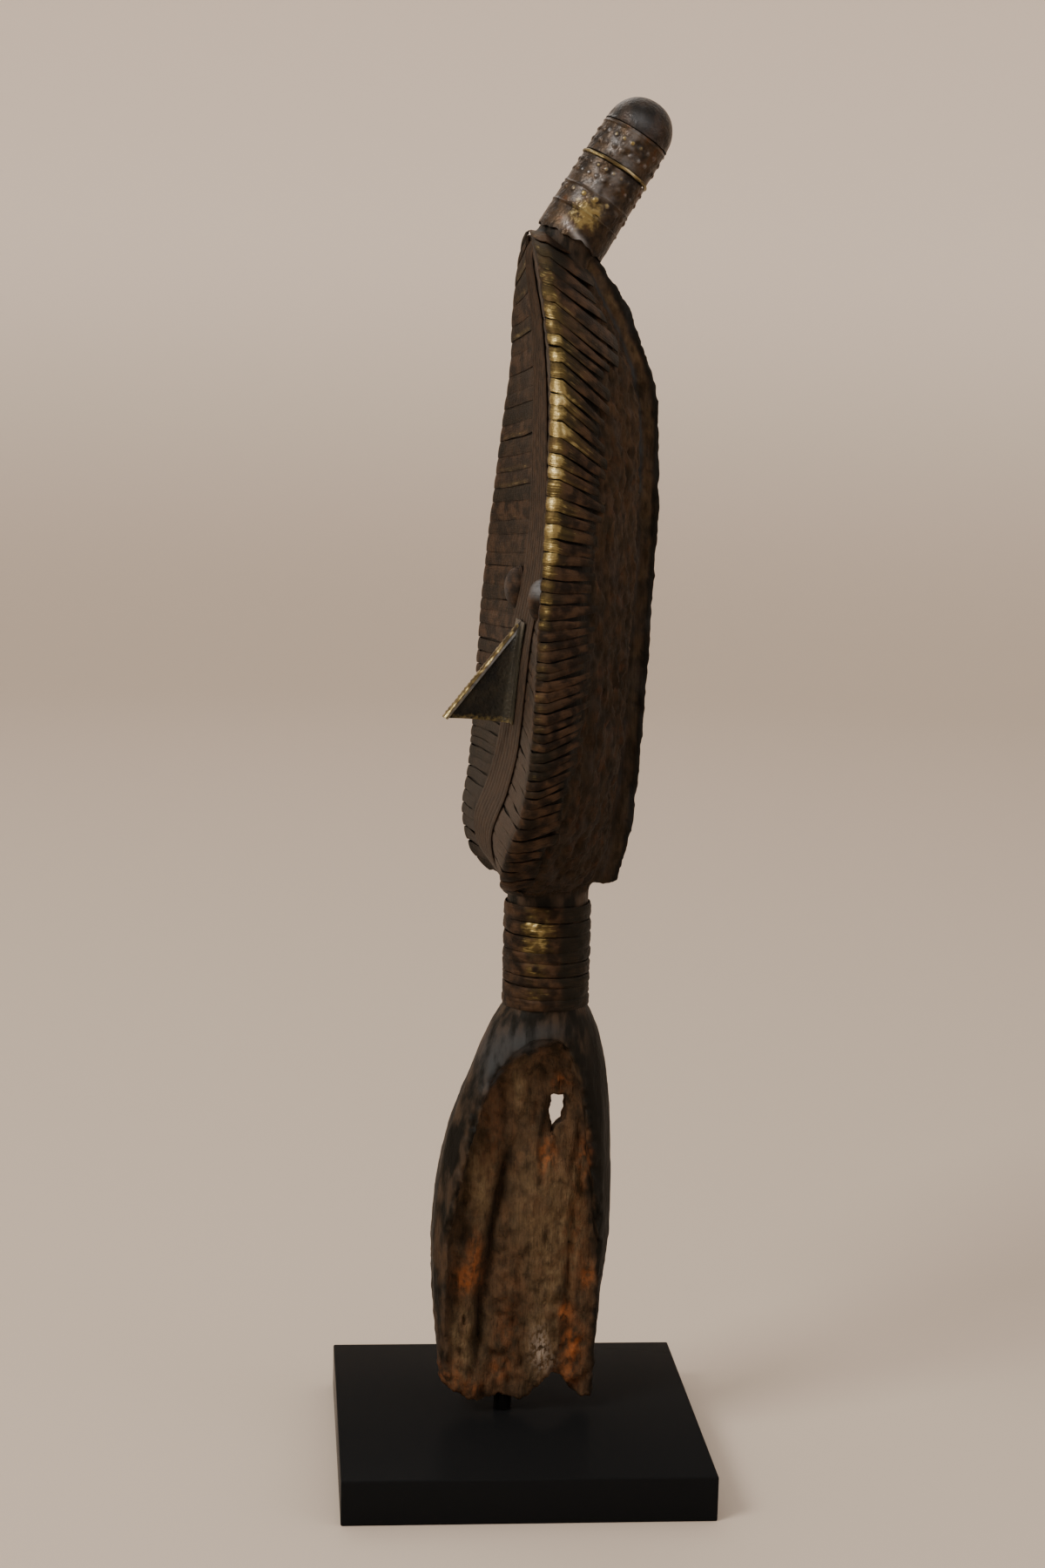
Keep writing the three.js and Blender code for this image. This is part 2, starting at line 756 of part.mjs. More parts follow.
// A band round the neck between two heights.
function neckBand(upper, lower) {
  const height = upper - lower - TOUCH_GAP;
  const points = [
    new THREE.Vector2(NECK_BAND_INNER, 0),
    new THREE.Vector2(NECK_BAND_OUTER, NECK_BAND_BEVEL),
    new THREE.Vector2(NECK_BAND_OUTER, height - NECK_BAND_BEVEL),
    new THREE.Vector2(NECK_BAND_INNER, height),
    new THREE.Vector2(NECK_BAND_INNER, 0),
  ];
  const ring = new THREE.LatheGeometry(points, BAND_SIDES).rotateX(Math.PI / 2);
  return solid(ring.translate(0, NECK_CENTRE_Y, lower));
}

const group = new THREE.Group();

const plinthShape = new THREE.Shape();
const plinthHalf = PLINTH_SIDE / 2 - PLINTH_BEVEL;
plinthShape.moveTo(-plinthHalf, -plinthHalf);
plinthShape.lineTo(plinthHalf, -plinthHalf);
plinthShape.lineTo(plinthHalf, plinthHalf);
plinthShape.lineTo(-plinthHalf, plinthHalf);
plinthShape.closePath();
const plinth = new THREE.ExtrudeGeometry(plinthShape, {
  depth: PLINTH_HEIGHT - 2 * PLINTH_BEVEL,
  bevelThickness: PLINTH_BEVEL,
  bevelSize: PLINTH_BEVEL,
  bevelSegments: 1,
});
plinth.translate(0, 0, PLINTH_BEVEL);
add(group, "plinth", geometryOf(solid(plinth)), MATERIALS.lacquer);

const figure = new THREE.Group();
figure.position.z = PLINTH_HEIGHT;
figure.rotation.z = FIGURE_TURN;
group.add(figure);

const mountPin = pin(PIN_RADIUS, PIN_TOP - TOUCH_GAP).translate(0, 0, TOUCH_GAP);
add(figure, "mount_pin", mountPin, MATERIALS.steel);
add(figure, "wood_figure", geometryOf(woodFigure()), MATERIALS.wood);
add(figure, "centre_band", geometryOf(centreBand()), MATERIALS.strips);
add(figure, "face_strips_left", geometryOf(faceStrips(1)), MATERIALS.strips);
add(figure, "face_strips_right", geometryOf(faceStrips(-1)), MATERIALS.strips);
add(figure, "nose", geometryOf(nose()), MATERIALS.sheet);
add(figure, "nose_lip", geometryOf(noseLip()), MATERIALS.bright);
add(figure, "eye_left", geometryOf(eye(1)), MATERIALS.strips);
add(figure, "eye_right", geometryOf(eye(-1)), MATERIALS.strips);

for (const { name, from, to } of CHIGNON_SHEETS) {
  add(figure, name, geometryOf(chignonSheet(from, to, SHEET_THICKNESS)), MATERIALS.sheet);
}
const wire = chignonSheet(WIRE_FROM, WIRE_TO, SHEET_THICKNESS + WIRE_RISE);
add(figure, "chignon_wire", geometryOf(wire), MATERIALS.bright);
add(figure, "chignon_cap", geometryOf(chignonCap()), MATERIALS.sheet);

NECK_BAND_EDGES.slice(1).forEach((lower, index) => {
  const band = neckBand(NECK_BAND_EDGES[index], lower);
  add(figure, "neck_band_" + (index + 1), geometryOf(band), MATERIALS.strips);
});

export default group;
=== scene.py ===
"""The looks of a reliquary guardian figure: carved wood in brass sheathing on a black plinth.

Each sub-assembly is a class. Its sizes are millimetres in the figure's own frame: heights are measured from
the plinth's top, the face looks along -Y and the left-hand side is +X. FIGURE_TO_PART turns that frame to the
part's frame, in metres.
"""

import logging
import math
from collections.abc import Callable, Sequence
from dataclasses import dataclass, field
from enum import Enum
from functools import partial

import bmesh
import bpy
import numpy as np
from mathutils import Matrix, Vector, noise


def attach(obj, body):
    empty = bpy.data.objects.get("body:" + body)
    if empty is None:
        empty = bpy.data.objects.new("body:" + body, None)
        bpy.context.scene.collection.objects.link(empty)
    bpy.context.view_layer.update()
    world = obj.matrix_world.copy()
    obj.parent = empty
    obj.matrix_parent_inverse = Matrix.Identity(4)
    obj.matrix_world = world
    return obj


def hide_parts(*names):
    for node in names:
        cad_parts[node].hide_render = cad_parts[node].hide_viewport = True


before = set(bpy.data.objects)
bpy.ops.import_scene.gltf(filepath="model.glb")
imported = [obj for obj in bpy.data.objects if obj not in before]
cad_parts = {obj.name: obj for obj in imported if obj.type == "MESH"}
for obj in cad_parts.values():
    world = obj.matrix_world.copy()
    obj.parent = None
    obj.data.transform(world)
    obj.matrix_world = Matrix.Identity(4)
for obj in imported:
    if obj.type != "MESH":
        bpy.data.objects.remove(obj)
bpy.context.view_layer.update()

LOG = logging.getLogger("figure")

PLINTH_HEIGHT = 20.0
FIGURE_TURN = math.radians(4.5)
MILLIMETRE = 0.001
FIGURE_TO_PART = (
    Matrix.Translation((0, 0, PLINTH_HEIGHT * MILLIMETRE))
    @ Matrix.Rotation(FIGURE_TURN, 4, "Z")
    @ Matrix.Scale(MILLIMETRE, 4)
)

# rub is rubbed gold and also painted highlight on the rims, bosses and neck; dust is dust and also painted
# grey sheen and highlight on the chignon, cap, nose, lip and eyes; tone is each piece's own tone and also
# painted shade at the strips' ragged ends and on the neck's far side.
BRASS_MARKS = ("rub", "dust", "tone", "along", "across")
# deep is painted shade in the grooves, hollows and recess edges, on the bare head and in the gaps between the
# strips, and also blackens the back rail and the rib's back; facet is painted sheen on the foot's flat faces
# and the head, and a painted highlight along the rib's edge.
WOOD_MARKS = ("eaten", "tan", "spot", "deep", "facet", "chalk")

Numbers = np.ndarray
Verts = Sequence[bmesh.types.BMVert]
Surface = Callable[[Numbers, Numbers], Numbers]
Adder = Callable[..., bpy.types.NodeSocket]
Size = tuple[float, float, float]
Section = Sequence[tuple[float, float]]


class Slot(Enum):
    """The record's material slots."""

    LACQUER = "lacquer"
    STEEL = "steel"
    WOOD = "wood"
    STRIPS = "strips"
    SHEET = "sheet"
    BRIGHT = "bright"


class Side(Enum):
    """The figure's two sides, as the sign of X."""

    LEFT = 1
    RIGHT = -1


# Curves, noise and outlines


class Curve:
    """A smooth curve through (place, value) stations that never overshoots them."""

    def __init__(self, *stations: tuple[float, float]) -> None:
        """Keeps the stations and works out the slope at each.

        Args:
            stations: (place, value) pairs in rising order of place.
        """
        self.places = np.array([s[0] for s in stations], float)
        self.values = np.array([s[1] for s in stations], float)
        rises = np.diff(self.values) / np.diff(self.places)
        slopes = np.zeros(len(self.places))
        slopes[0], slopes[-1] = rises[0], rises[-1]
        before, after = rises[:-1], rises[1:]
        both = before + after
        same_way = before * after > 0
        slopes[1:-1] = np.where(same_way, 2 * before * after / np.where(same_way, both, 1), 0)
        self.slopes = slopes

    def __call__(self, place: Numbers | float) -> Numbers:
        """The value at a place, or at many places.

        Args:
            place: one number or an array.

        Returns:
            The curve's values there.
        """
        p = np.clip(place, self.places[0], self.places[-1])
        i = np.clip(np.searchsorted(self.places, p) - 1, 0, len(self.places) - 2)
        span = self.places[i + 1] - self.places[i]
        t = (p - self.places[i]) / span
        rest = 1 - t
        return (
            self.values[i] * rest**2 * (1 + 2 * t)
            + self.slopes[i] * span * t * rest**2
            + self.values[i + 1] * t**2 * (3 - 2 * t)
            - self.slopes[i + 1] * span * t**2 * rest
        )


def smooth_step(value: Numbers | float, low: float, high: float) -> Numbers:
    """Rises smoothly from 0 at low to 1 at high."""
    t = np.clip((value - low) / (high - low), 0, 1)
    return t * t * (3 - 2 * t)


def hill(value: Numbers | float, centre: float, reach: float) -> Numbers:
    """A smooth hill of height 1 at a centre, which has all but gone at twice its reach."""
    return np.exp(-(((value - centre) / reach) ** 2))


def chance(index: int, salt: float = 0.0) -> float:
    """A repeatable number from 0 to 1 for a numbered thing."""
    value = math.sin(index * 12.9898 + salt * 78.233) * 43758.5453
    return value - math.floor(value)


def grain(points: Numbers, size: Size, shift: float = 0.0, octaves: int = 2) -> Numbers:
    """Repeatable smooth noise, from about -1 to 1.

    Args:
        points: places in millimetres, one row each.
        size: the size of a patch along X, Y and Z, in millimetres.
        shift: picks another part of the noise.
        octaves: how many finer layers are added.

    Returns:
        One number for each point.
    """
    scaled = points / np.array(size) + shift
    return np.array([noise.fractal(Vector(p), 1.0, 2.0, octaves) for p in scaled])


def inside_depth(a: Numbers, b: Numbers, outline: Sequence[tuple[float, float]]) -> Numbers:
    """How deep points lie inside a closed outline.

    Args:
        a: the points' first coordinate.
        b: the points' second coordinate.
        outline: the outline's corners.

    Returns:
        The distance to the outline, negative outside it.
    """
    corners = np.array(outline, float)
    nearest = np.full(len(a), 1e9)
    within = np.zeros(len(a), bool)
    for start, end in zip(corners, np.roll(corners, -1, axis=0)):
        run = end - start
        t = np.clip(((a - start[0]) * run[0] + (b - start[1]) * run[1]) / (run @ run), 0, 1)
        gap = np.hypot(a - start[0] - t * run[0], b - start[1] - t * run[1])
        nearest = np.minimum(nearest, gap)
        if run[1]:
            crosses = (start[1] > b) != (end[1] > b)
            within ^= crosses & (a < start[0] + (b - start[1]) * run[0] / run[1])
    return np.where(within, nearest, -nearest)


# Meshes


def places_of(verts: Verts) -> Numbers:
    """The vertices' places, one row each."""
    return np.array([v.co for v in verts], float).reshape(-1, 3)


def put(verts: Verts, places: Numbers) -> None:
    """Moves vertices to places."""
    for vert, place in zip(verts, places):
        vert.co = place


def to_rings(places: Numbers) -> tuple[Numbers, Numbers]:
    """The places' angle round Z and their radius."""
    return np.arctan2(places[:, 1], places[:, 0]), np.hypot(places[:, 0], places[:, 1])


def from_rings(angle: Numbers, radius: Numbers, height: Numbers) -> Numbers:
    """The places that have an angle round Z, a radius and a height."""
    return np.stack([radius * np.cos(angle), radius * np.sin(angle), height], 1)


def start_mesh(marks: Sequence[str] = BRASS_MARKS, source: bpy.types.Mesh | None = None) -> bmesh.types.BMesh:
    """A new mesh with a layer of numbers for each mark, made before any vertex is held.

    Args:
        marks: the layers' names, which the materials read as attributes.
        source: a mesh to start from.

    Returns:
        The mesh to work on.
    """
    bm = bmesh.new()
    if source:
        bm.from_mesh(source)
    for name in marks:
        bm.verts.layers.float.new(name)
    return bm


def shade(bm: bmesh.types.BMesh, verts: Verts, **values: Numbers | float) -> None:
    """Writes numbers on vertices for the materials to read.

    Args:
        bm: the mesh that holds the vertices.
        verts: the vertices to write on.
        values: each attribute's name with its numbers, or one number for all.
    """
    for name, value in values.items():
        layer = bm.verts.layers.float[name]
        for vert, number in zip(verts, np.broadcast_to(value, len(verts))):
            vert[layer] = float(number)


def add_sheet(
    bm: bmesh.types.BMesh, columns: int, rows: int, surface: Surface
) -> tuple[Verts, Numbers, Numbers]:
    """Adds a grid and lays it on a surface.

    Args:
        bm: the mesh to add to.
        columns: the number of faces along u.
        rows: the number of faces along v.
        surface: gives the places for arrays of u and v from 0 to 1.

    Returns:
        The new vertices with their u and v.
    """
    made = bmesh.ops.create_grid(bm, x_segments=columns, y_segments=rows, size=0.5)["verts"]
    flat = places_of(made) + 0.5
    put(made, surface(flat[:, 0], flat[:, 1]))
    return made, flat[:, 0], flat[:, 1]


def add_ring(bm: bmesh.types.BMesh, section: Section, steps: int, closed: bool = True) -> Verts:
    """Spins a section round Z.

    Args:
        bm: the mesh to add to.
        section: (radius, height) corners of the section.
        steps: the number of faces round the ring.
        closed: True for a closed section, and False for one that runs from pole to pole.

    Returns:
        The new vertices.
    """
    known = set(bm.verts)
    chain = [bm.verts.new((radius, 0, height)) for radius, height in section]
    edges = [bm.edges.new(pair) for pair in zip(chain, chain[1:])]
    if closed:
        edges.append(bm.edges.new((chain[-1], chain[0])))
    bmesh.ops.spin(
        bm,
        geom=chain + edges,
        cent=(0, 0, 0),
        axis=(0, 0, 1),
        angle=math.tau,
        steps=steps,
        use_merge=True,
    )
    new = [v for v in bm.verts if v not in known]
    bmesh.ops.remove_doubles(bm, verts=new, dist=0.001)
    new = [v for v in bm.verts if v not in known]
    faces = list({f for v in new for f in v.link_faces})
    bmesh.ops.recalc_face_normals(bm, faces=faces)
    return new


def thicken(bm: bmesh.types.BMesh, thickness: float) -> None:
    """Gives an open sheet a thickness, inwards from its faces."""
    bm.normal_update()
    bmesh.ops.solidify(bm, geom=bm.faces[:], thickness=thickness)


def turn_over(bm: bmesh.types.BMesh, verts: Verts) -> None:
    """Turns the faces of some vertices to their other side."""
    faces = list({f for vert in verts for f in vert.link_faces})
    bmesh.ops.reverse_faces(bm, faces=faces)


def add_object(name: str, data: bpy.types.ID) -> bpy.types.Object:
    """Adds an object to the scene.

    Args:
        name: its name.
        data: its mesh, lamp or camera.

    Returns:
        The new object.
    """
    made = bpy.data.objects.new(name, data)
    bpy.context.scene.collection.objects.link(made)
    return made


def add_smooth(name: str, bm: bmesh.types.BMesh, material: bpy.types.Material) -> bpy.types.Object:
    """Makes a smooth-shaded object of a mesh.

    Args:
        name: the object's name.
        bm: its mesh, which is freed.
        material: its finish.

    Returns:
        The new object.
    """
    mesh = bpy.data.meshes.new(name)
    bm.to_mesh(mesh)
    bm.free()
    mesh.shade_smooth()
    mesh.materials.append(material)
    return add_object(name, mesh)


def make_piece(
    name: str,
    bm: bmesh.types.BMesh,
    material: bpy.types.Material,
    nodes: Sequence[str],
    sharp: float = 40.0,
) -> bpy.types.Object:
    """Makes a piece of the scene of a mesh in the figure's frame.

    Args:
        name: the piece's name.
        bm: its mesh, which is freed.
        material: its finish.
        nodes: the CAD nodes that it stands for.
        sharp: edges over this many degrees are shaded sharp.

    Returns:
        The finished object, at the origin.
    """
    bmesh.ops.transform(bm, matrix=FIGURE_TO_PART, verts=bm.verts)
    piece = add_smooth(name, bm, material)
    piece.data.set_sharp_from_angle(angle=math.radians(sharp))
    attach(piece, "root")
    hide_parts(*nodes)
    LOG.info("%s: %d faces", name, len(piece.data.polygons))
    return piece


# Materials


class Node(Enum):
    """The nodes of the finishes: each one's type, its inputs in order, its output and its settings.

    The numbered inputs of a coat are its share and the two colours.
    """

    PLACE = ("ShaderNodeTexCoord", (), "Object", {})
    SCALED = ("ShaderNodeMapping", ("Vector", "Scale"), 0, {})
    JOINED = ("ShaderNodeCombineXYZ", (0, 1), 0, {})
    HEIGHT = ("ShaderNodeSeparateXYZ", (0,), "Z", {})
    MARK = ("ShaderNodeAttribute", (), "Fac", {})
    NOISE = ("ShaderNodeTexNoise", ("Vector", "Detail", "Scale"), "Fac", {})
    MASK = ("ShaderNodeMapRange", ("Value", "From Min", "From Max"), 0, {"interpolation_type": "SMOOTHSTEP"})
    RANGE = ("ShaderNodeMapRange", ("Value", "To Min", "To Max"), 0, {})
    PLUS = ("ShaderNodeMath", (0, 1), 0, {"operation": "ADD", "use_clamp": True})
    MINUS = ("ShaderNodeMath", (0, 1), 0, {"operation": "SUBTRACT", "use_clamp": True})
    TIMES = ("ShaderNodeMath", (0, 1), 0, {"operation": "MULTIPLY", "use_clamp": True})
    LARGER = ("ShaderNodeMath", (0, 1), 0, {"operation": "MAXIMUM", "use_clamp": True})
    COAT = ("ShaderNodeMix", (0, 6, 7), 2, {"data_type": "RGBA"})
    RELIEF = ("ShaderNodeBump", ("Height", "Distance", "Strength"), 0, {})


def linear(code: str) -> tuple[float, float, float, float]:
    """An sRGB hex colour as linear red, green, blue and alpha."""
    parts = [int(code[i : i + 2], 16) / 255 for i in (1, 3, 5)]
    return tuple(p / 12.92 if p <= 0.04045 else ((p + 0.055) / 1.055) ** 2.4 for p in parts) + (1.0,)


def per_metre(millimetres: float) -> float:
    """The pattern scale at which one patch has a size."""
    return 1000 / millimetres


def feed(node: bpy.types.Node, name: str | int, value: object) -> None:
    """Gives a node's input a socket's value, a colour by its hex code, or a plain value.

    Args:
        node: the node.
        name: the input's name or number.
        value: an output socket, which makes a link, or a hex code, or a number or numbers.
    """
    if isinstance(value, bpy.types.NodeSocket):
        node.id_data.links.new(value, node.inputs[name])
    else:
        node.inputs[name].default_value = linear(value) if isinstance(value, str) else value


def add_node(
    tree: bpy.types.NodeTree, kind: Node, *inputs: object, **settings: object
) -> bpy.types.NodeSocket:
    """Adds a node with its settings and links.

    Args:
        tree: the tree to add to.
        kind: the kind of node.
        inputs: what its inputs are given, in the kind's order.
        settings: more of the node's own properties.

    Returns:
        The output socket that the kind names.
    """
    node_type, names, output, usual = kind.value
    node = tree.nodes.new(node_type)
    for name, value in (usual | settings).items():
        setattr(node, name, value)
    for name, value in zip(names, inputs):
        feed(node, name, value)
    return node.outputs[output]


@dataclass(frozen=True)
class Finish:
    """What every finish shares: its start, patterns of a real size and coats of colour."""

    name: str

    def start(self) -> tuple[bpy.types.Material, Adder, bpy.types.Node]:
        """Starts a material.

        Returns:
            The material, the function that adds a node to it, and its shader.
        """
        material = bpy.data.materials.new(self.name)
        material.use_nodes = True
        tree = material.node_tree
        return material, partial(add_node, tree), tree.nodes["Principled BSDF"]

    def build(self) -> bpy.types.Material:
        """The material, which each finish makes in its own way."""
        raise NotImplementedError

    @staticmethod
    def pattern(add: Adder, size: Size, detail: float = 3.0) -> bpy.types.NodeSocket:
        """Noise in the piece's own coordinates.

        Args:
            add: adds a node to the material.
            size: a patch's size along X, Y and Z, in millimetres.
            detail: how many finer layers it has.

        Returns:
            The noise's value.
        """
        scaled = add(Node.SCALED, add(Node.PLACE), tuple(per_metre(s) for s in size))
        return add(Node.NOISE, scaled, detail, 1.0)

    @staticmethod
    def coats(add: Adder, base: object, *coats: tuple[object, object]) -> bpy.types.NodeSocket:
        """Colours laid over one another.

        Args:
            add: adds a node to the material.
            base: the lowest colour.
            coats: the share and the colour of each coat, from the lowest up.

        Returns:
            The colour that shows.
        """
        for share, colour in coats:
            base = add(Node.COAT, share, base, colour)
        return base


@dataclass(frozen=True)
class AgedBrass(Finish):
    """Hammered brass that was never cleaned: brown tarnish with dust, rubbed to gold where hands reach, with
    painted highlight on the gold and painted shade in the olive coat.
    """

    tarnish: str = "#1e1711"
    warm: str = "#433224"
    dust: str = "#423931"
    olive: str = "#1b1a14"
    bronze: str = "#574a29"
    gold: str = "#83744a"
    pale: str = "#b4a678"
    dull_roughness: float = 0.6
    rubbed_roughness: float = 0.36
    dull_metal: float = 0.45
    specular: float = 0.12
    streak_length: float = 10.0
    streak_width: float = 0.5
    blotch_size: Size = (6, 6, 5)
    patch_size: Size = (5, 5, 4)
    dent_size: Size = (1.6, 1.6, 1.6)
    dent_depth: float = 0.5

    def streaks(self, add: Adder) -> bpy.types.NodeSocket:
        """Fine streaks that follow each strip, from its own places along and across in millimetres.

        Args:
            add: adds a node to the material.

        Returns:
            The streaks' value.
        """
        run = add(Node.JOINED, *(add(Node.MARK, attribute_name=name) for name in ("along", "across")))
        scaled = add(Node.SCALED, run, (1 / self.streak_length, 1 / self.streak_width, 1.0))
        return add(Node.NOISE, scaled, 3.0, 1.0)

    def build(self) -> bpy.types.Material:
        """Makes the finish, which reads the attributes rub (rubbed gold and painted highlight), dust (dust,
        and on the bright finish painted highlight), tone (tone and painted shade), along and across.

        Returns:
            The material.
        """
        material, add, shader = self.start()
        rub, dust_and_sheen, tone = (add(Node.MARK, attribute_name=name) for name in ("rub", "dust", "tone"))
        streak = self.streaks(add)
        blotch = self.pattern(add, self.blotch_size, 5)
        patch = self.pattern(add, self.patch_size, 3)
        dents = self.pattern(add, self.dent_size, 4)
        green = add(Node.TIMES, add(Node.MASK, tone, 0.3, 1.0), add(Node.RANGE, streak, 0.4, 1.3))
        uneven = add(Node.TIMES, dust_and_sheen, add(Node.RANGE, dents, 0.45, 1.35))
        smoke = add(Node.RANGE, add(Node.MASK, streak, 0.5, 0.75), 0.0, 0.5)
        bronzed = add(Node.TIMES, add(Node.MASK, rub, 0.1, 0.8), add(Node.RANGE, patch, 1.3, 0.3))
        left = add(Node.MINUS, rub, add(Node.RANGE, add(Node.MASK, streak, 0.3, 0.68), 0.0, 0.45))
        left = add(Node.MINUS, left, add(Node.RANGE, add(Node.MASK, patch, 0.34, 0.62), 0.0, 0.5))
        rubbed_and_highlit = add(Node.MASK, left, 0.02, 0.6)
        # The olive coat is also painted shade, the dust coat on the bright finish is painted highlight, and
        # the gold and pale coats are rubbed brass with painted highlight, the pale one mostly painted
        # highlight.
        colour = self.coats(
            add,
            self.tarnish,
            (add(Node.MASK, blotch, 0.38, 0.66), self.warm),
            (green, self.olive),
            (uneven, self.dust),
            (smoke, self.tarnish),
            (add(Node.TIMES, bronzed, 0.85), self.bronze),
            (rubbed_and_highlit, self.gold),
            (add(Node.MASK, left, 0.65, 1.0), self.pale),
        )
        shine = add(Node.LARGER, rubbed_and_highlit, add(Node.TIMES, bronzed, 0.6))
        rough = add(Node.PLUS, add(Node.TIMES, dents, 0.5), add(Node.TIMES, streak, 0.5))
        feed(shader, "Base Color", colour)
        feed(shader, "Metallic", add(Node.RANGE, shine, self.dull_metal, 1.0))
        feed(shader, "Roughness", add(Node.RANGE, shine, self.dull_roughness, self.rubbed_roughness))
        feed(shader, "Normal", add(Node.RELIEF, rough, self.dent_depth * MILLIMETRE, 1.0))
        feed(shader, "Specular IOR Level", self.specular)
        return material


@dataclass(frozen=True)
class DarkBrass(Finish):
    """Thin brass sheet gone dark with oil and smoke: brown-black with a glow of red, glossy where rubbed,
    with painted grey sheen and highlights.
    """

    black: str = "#1f1914"
    brown: str = "#3e3225"
    red: str = "#482f19"
    # The grey of the painted sheen and highlights.
    painted_sheen: str = "#9a9b9e"
    gold: str = "#8a7c52"
    roughness: float = 0.36
    metal: float = 0.65
    specular: float = 0.25
    blotch_size: Size = (6, 6, 6)
    dent_size: Size = (1.3, 1.3, 1.3)
    dent_depth: float = 0.35

    def build(self) -> bpy.types.Material:
        """Makes the finish, which reads the attributes rub, for rubbed gold and painted highlight, and dust,
        which here paints grey sheen and highlights.

        Returns:
            The material.
        """
        material, add, shader = self.start()
        rub, dust_and_sheen = (add(Node.MARK, attribute_name=name) for name in ("rub", "dust"))
        blotch = self.pattern(add, self.blotch_size, 4)
        dents = self.pattern(add, self.dent_size, 4)
        rubbed_and_highlit = add(Node.MASK, add(Node.MINUS, rub, add(Node.RANGE, dents, -0.2, 0.55)), 0.0, 0.7)
        colour = self.coats(
            add,
            self.black,
            (add(Node.MASK, blotch, 0.36, 0.6), self.brown),
            (add(Node.MASK, blotch, 0.58, 0.74), self.red),
            # Where the dust attribute is high this lays painted sheen and highlight; the gold is rubbed brass
            # and, on bosses in front, painted highlight.
            (dust_and_sheen, self.painted_sheen),
            (rubbed_and_highlit, self.gold),
        )
        feed(shader, "Base Color", colour)
        feed(shader, "Metallic", add(Node.RANGE, rubbed_and_highlit, self.metal, 1.0))
        feed(shader, "Roughness", add(Node.RANGE, dents, self.roughness - 0.1, self.roughness + 0.14))
        feed(shader, "Normal", add(Node.RELIEF, dents, self.dent_depth * MILLIMETRE, 1.0))
        feed(shader, "Specular IOR Level", self.specular)
        return material


@dataclass(frozen=True)
class PatinatedWood(Finish):
    """Old hardwood: oily black-brown where smooth, and dry, tan and crumbling where insects have eaten it,
    with painted sheen on flat faces and painted shade in grooves and hollows.
    """

    black: str = "#11100c"
    brown: str = "#3c3127"
    purple: str = "#453729"
    tan: str = "#67563f"
    rust: str = "#523e2d"
    orange: str = "#8c532e"
    # The grey of the painted sheen.
    facet: str = "#363a3d"
    chalk: str = "#94887b"
    dry_roughness: float = 0.9
    oiled_roughness: float = 0.5
    specular: float = 0.1
    blotch_size: Size = (5, 5, 14)
    fibre_size: Size = (0.9, 0.9, 9)
    crumb_size: Size = (1.4, 1.4, 2.2)
    mottle_size: Size = (4.5, 4.5, 7)
    patch_size: Size = (4, 4, 6)
    fleck_size: Size = (3.2, 3.2, 4.4)
    grain_depth: float = 1.25

    def build(self) -> bpy.types.Material:
        """Makes the finish, which reads the attributes eaten, tan, spot, deep (painted shade and black wood),
        facet (painted sheen) and chalk.

        Returns:
            The material.
        """
        material, add, shader = self.start()
        eaten, tan, spot, deep, facet, chalk = (add(Node.MARK, attribute_name=name) for name in WOOD_MARKS)
        blotch = self.pattern(add, self.blotch_size, 5)
        fibre = self.pattern(add, self.fibre_size, 4)
        crumb = self.pattern(add, self.crumb_size, 4)
        mottle = self.pattern(add, self.mottle_size, 5)
        patch = self.pattern(add, self.patch_size, 4)
        fleck = self.pattern(add, self.fleck_size, 5)
        smooth = self.coats(add, self.black, (add(Node.MASK, blotch, 0.42, 0.68), self.brown))
        rough = self.coats(
            add,
            self.purple,
            (add(Node.MASK, blotch, 0.35, 0.62), self.rust),
            (add(Node.RANGE, add(Node.MASK, mottle, 0.38, 0.6), 0.55, 0.0), self.black),
        )
        dry = add(Node.TIMES, tan, add(Node.RANGE, crumb, 0.3, 1.5))
        dry = add(Node.TIMES, dry, add(Node.RANGE, add(Node.MASK, patch, 0.36, 0.6), 0.3, 1.0))
        lines = add(Node.TIMES, add(Node.MASK, fibre, 0.5, 0.72), 0.38)
        colour = self.coats(
            add,
            smooth,
            (eaten, rough),
            (dry, self.tan),
            (add(Node.TIMES, lines, eaten), self.black),
            # deep lays black: painted shade in grooves, hollows and gaps, and black wood.
            (deep, self.black),
            (add(Node.TIMES, spot, add(Node.MASK, fleck, 0.32, 0.68)), self.orange),
            # The painted sheen on flat faces and along the rib's edge.
            (add(Node.TIMES, facet, add(Node.MASK, blotch, 0.3, 0.6)), self.facet),
            (add(Node.TIMES, chalk, add(Node.MASK, crumb, 0.4, 0.56)), self.chalk),
        )
        height = add(Node.PLUS, add(Node.TIMES, fibre, 0.5), add(Node.TIMES, crumb, 0.5))
        height = add(Node.TIMES, height, add(Node.RANGE, eaten, 0.3, 1.0))
        feed(shader, "Base Color", colour)
        feed(shader, "Roughness", add(Node.RANGE, eaten, self.oiled_roughness, self.dry_roughness))
        feed(shader, "Normal", add(Node.RELIEF, height, self.grain_depth * MILLIMETRE, 1.0))
        feed(shader, "Specular IOR Level", self.specular)
        return material


@dataclass(frozen=True)
class BlackLacquer(Finish):
    """Sprayed satin lacquer on board: an even black with a soft mirror and a few specks of dust."""

    black: str = "#161718"
    grey: str = "#1f2123"
    roughness: float = 0.2
    specular: float = 0.003
    dust_size: Size = (0.8, 0.8, 0.8)
    haze_size: Size = (40, 40, 40)

    def build(self) -> bpy.types.Material:
        """Makes the finish.

        Returns:
            The material.
        """
        material, add, shader = self.start()
        dust = self.pattern(add, self.dust_size, 2)
        haze = self.pattern(add, self.haze_size, 3)
        feed(shader, "Base Color", self.coats(add, self.black, (add(Node.MASK, dust, 0.66, 0.8), self.grey)))
        feed(shader, "Roughness", add(Node.RANGE, haze, self.roughness - 0.05, self.roughness + 0.08))
        feed(shader, "Specular IOR Level", self.specular)
        return material


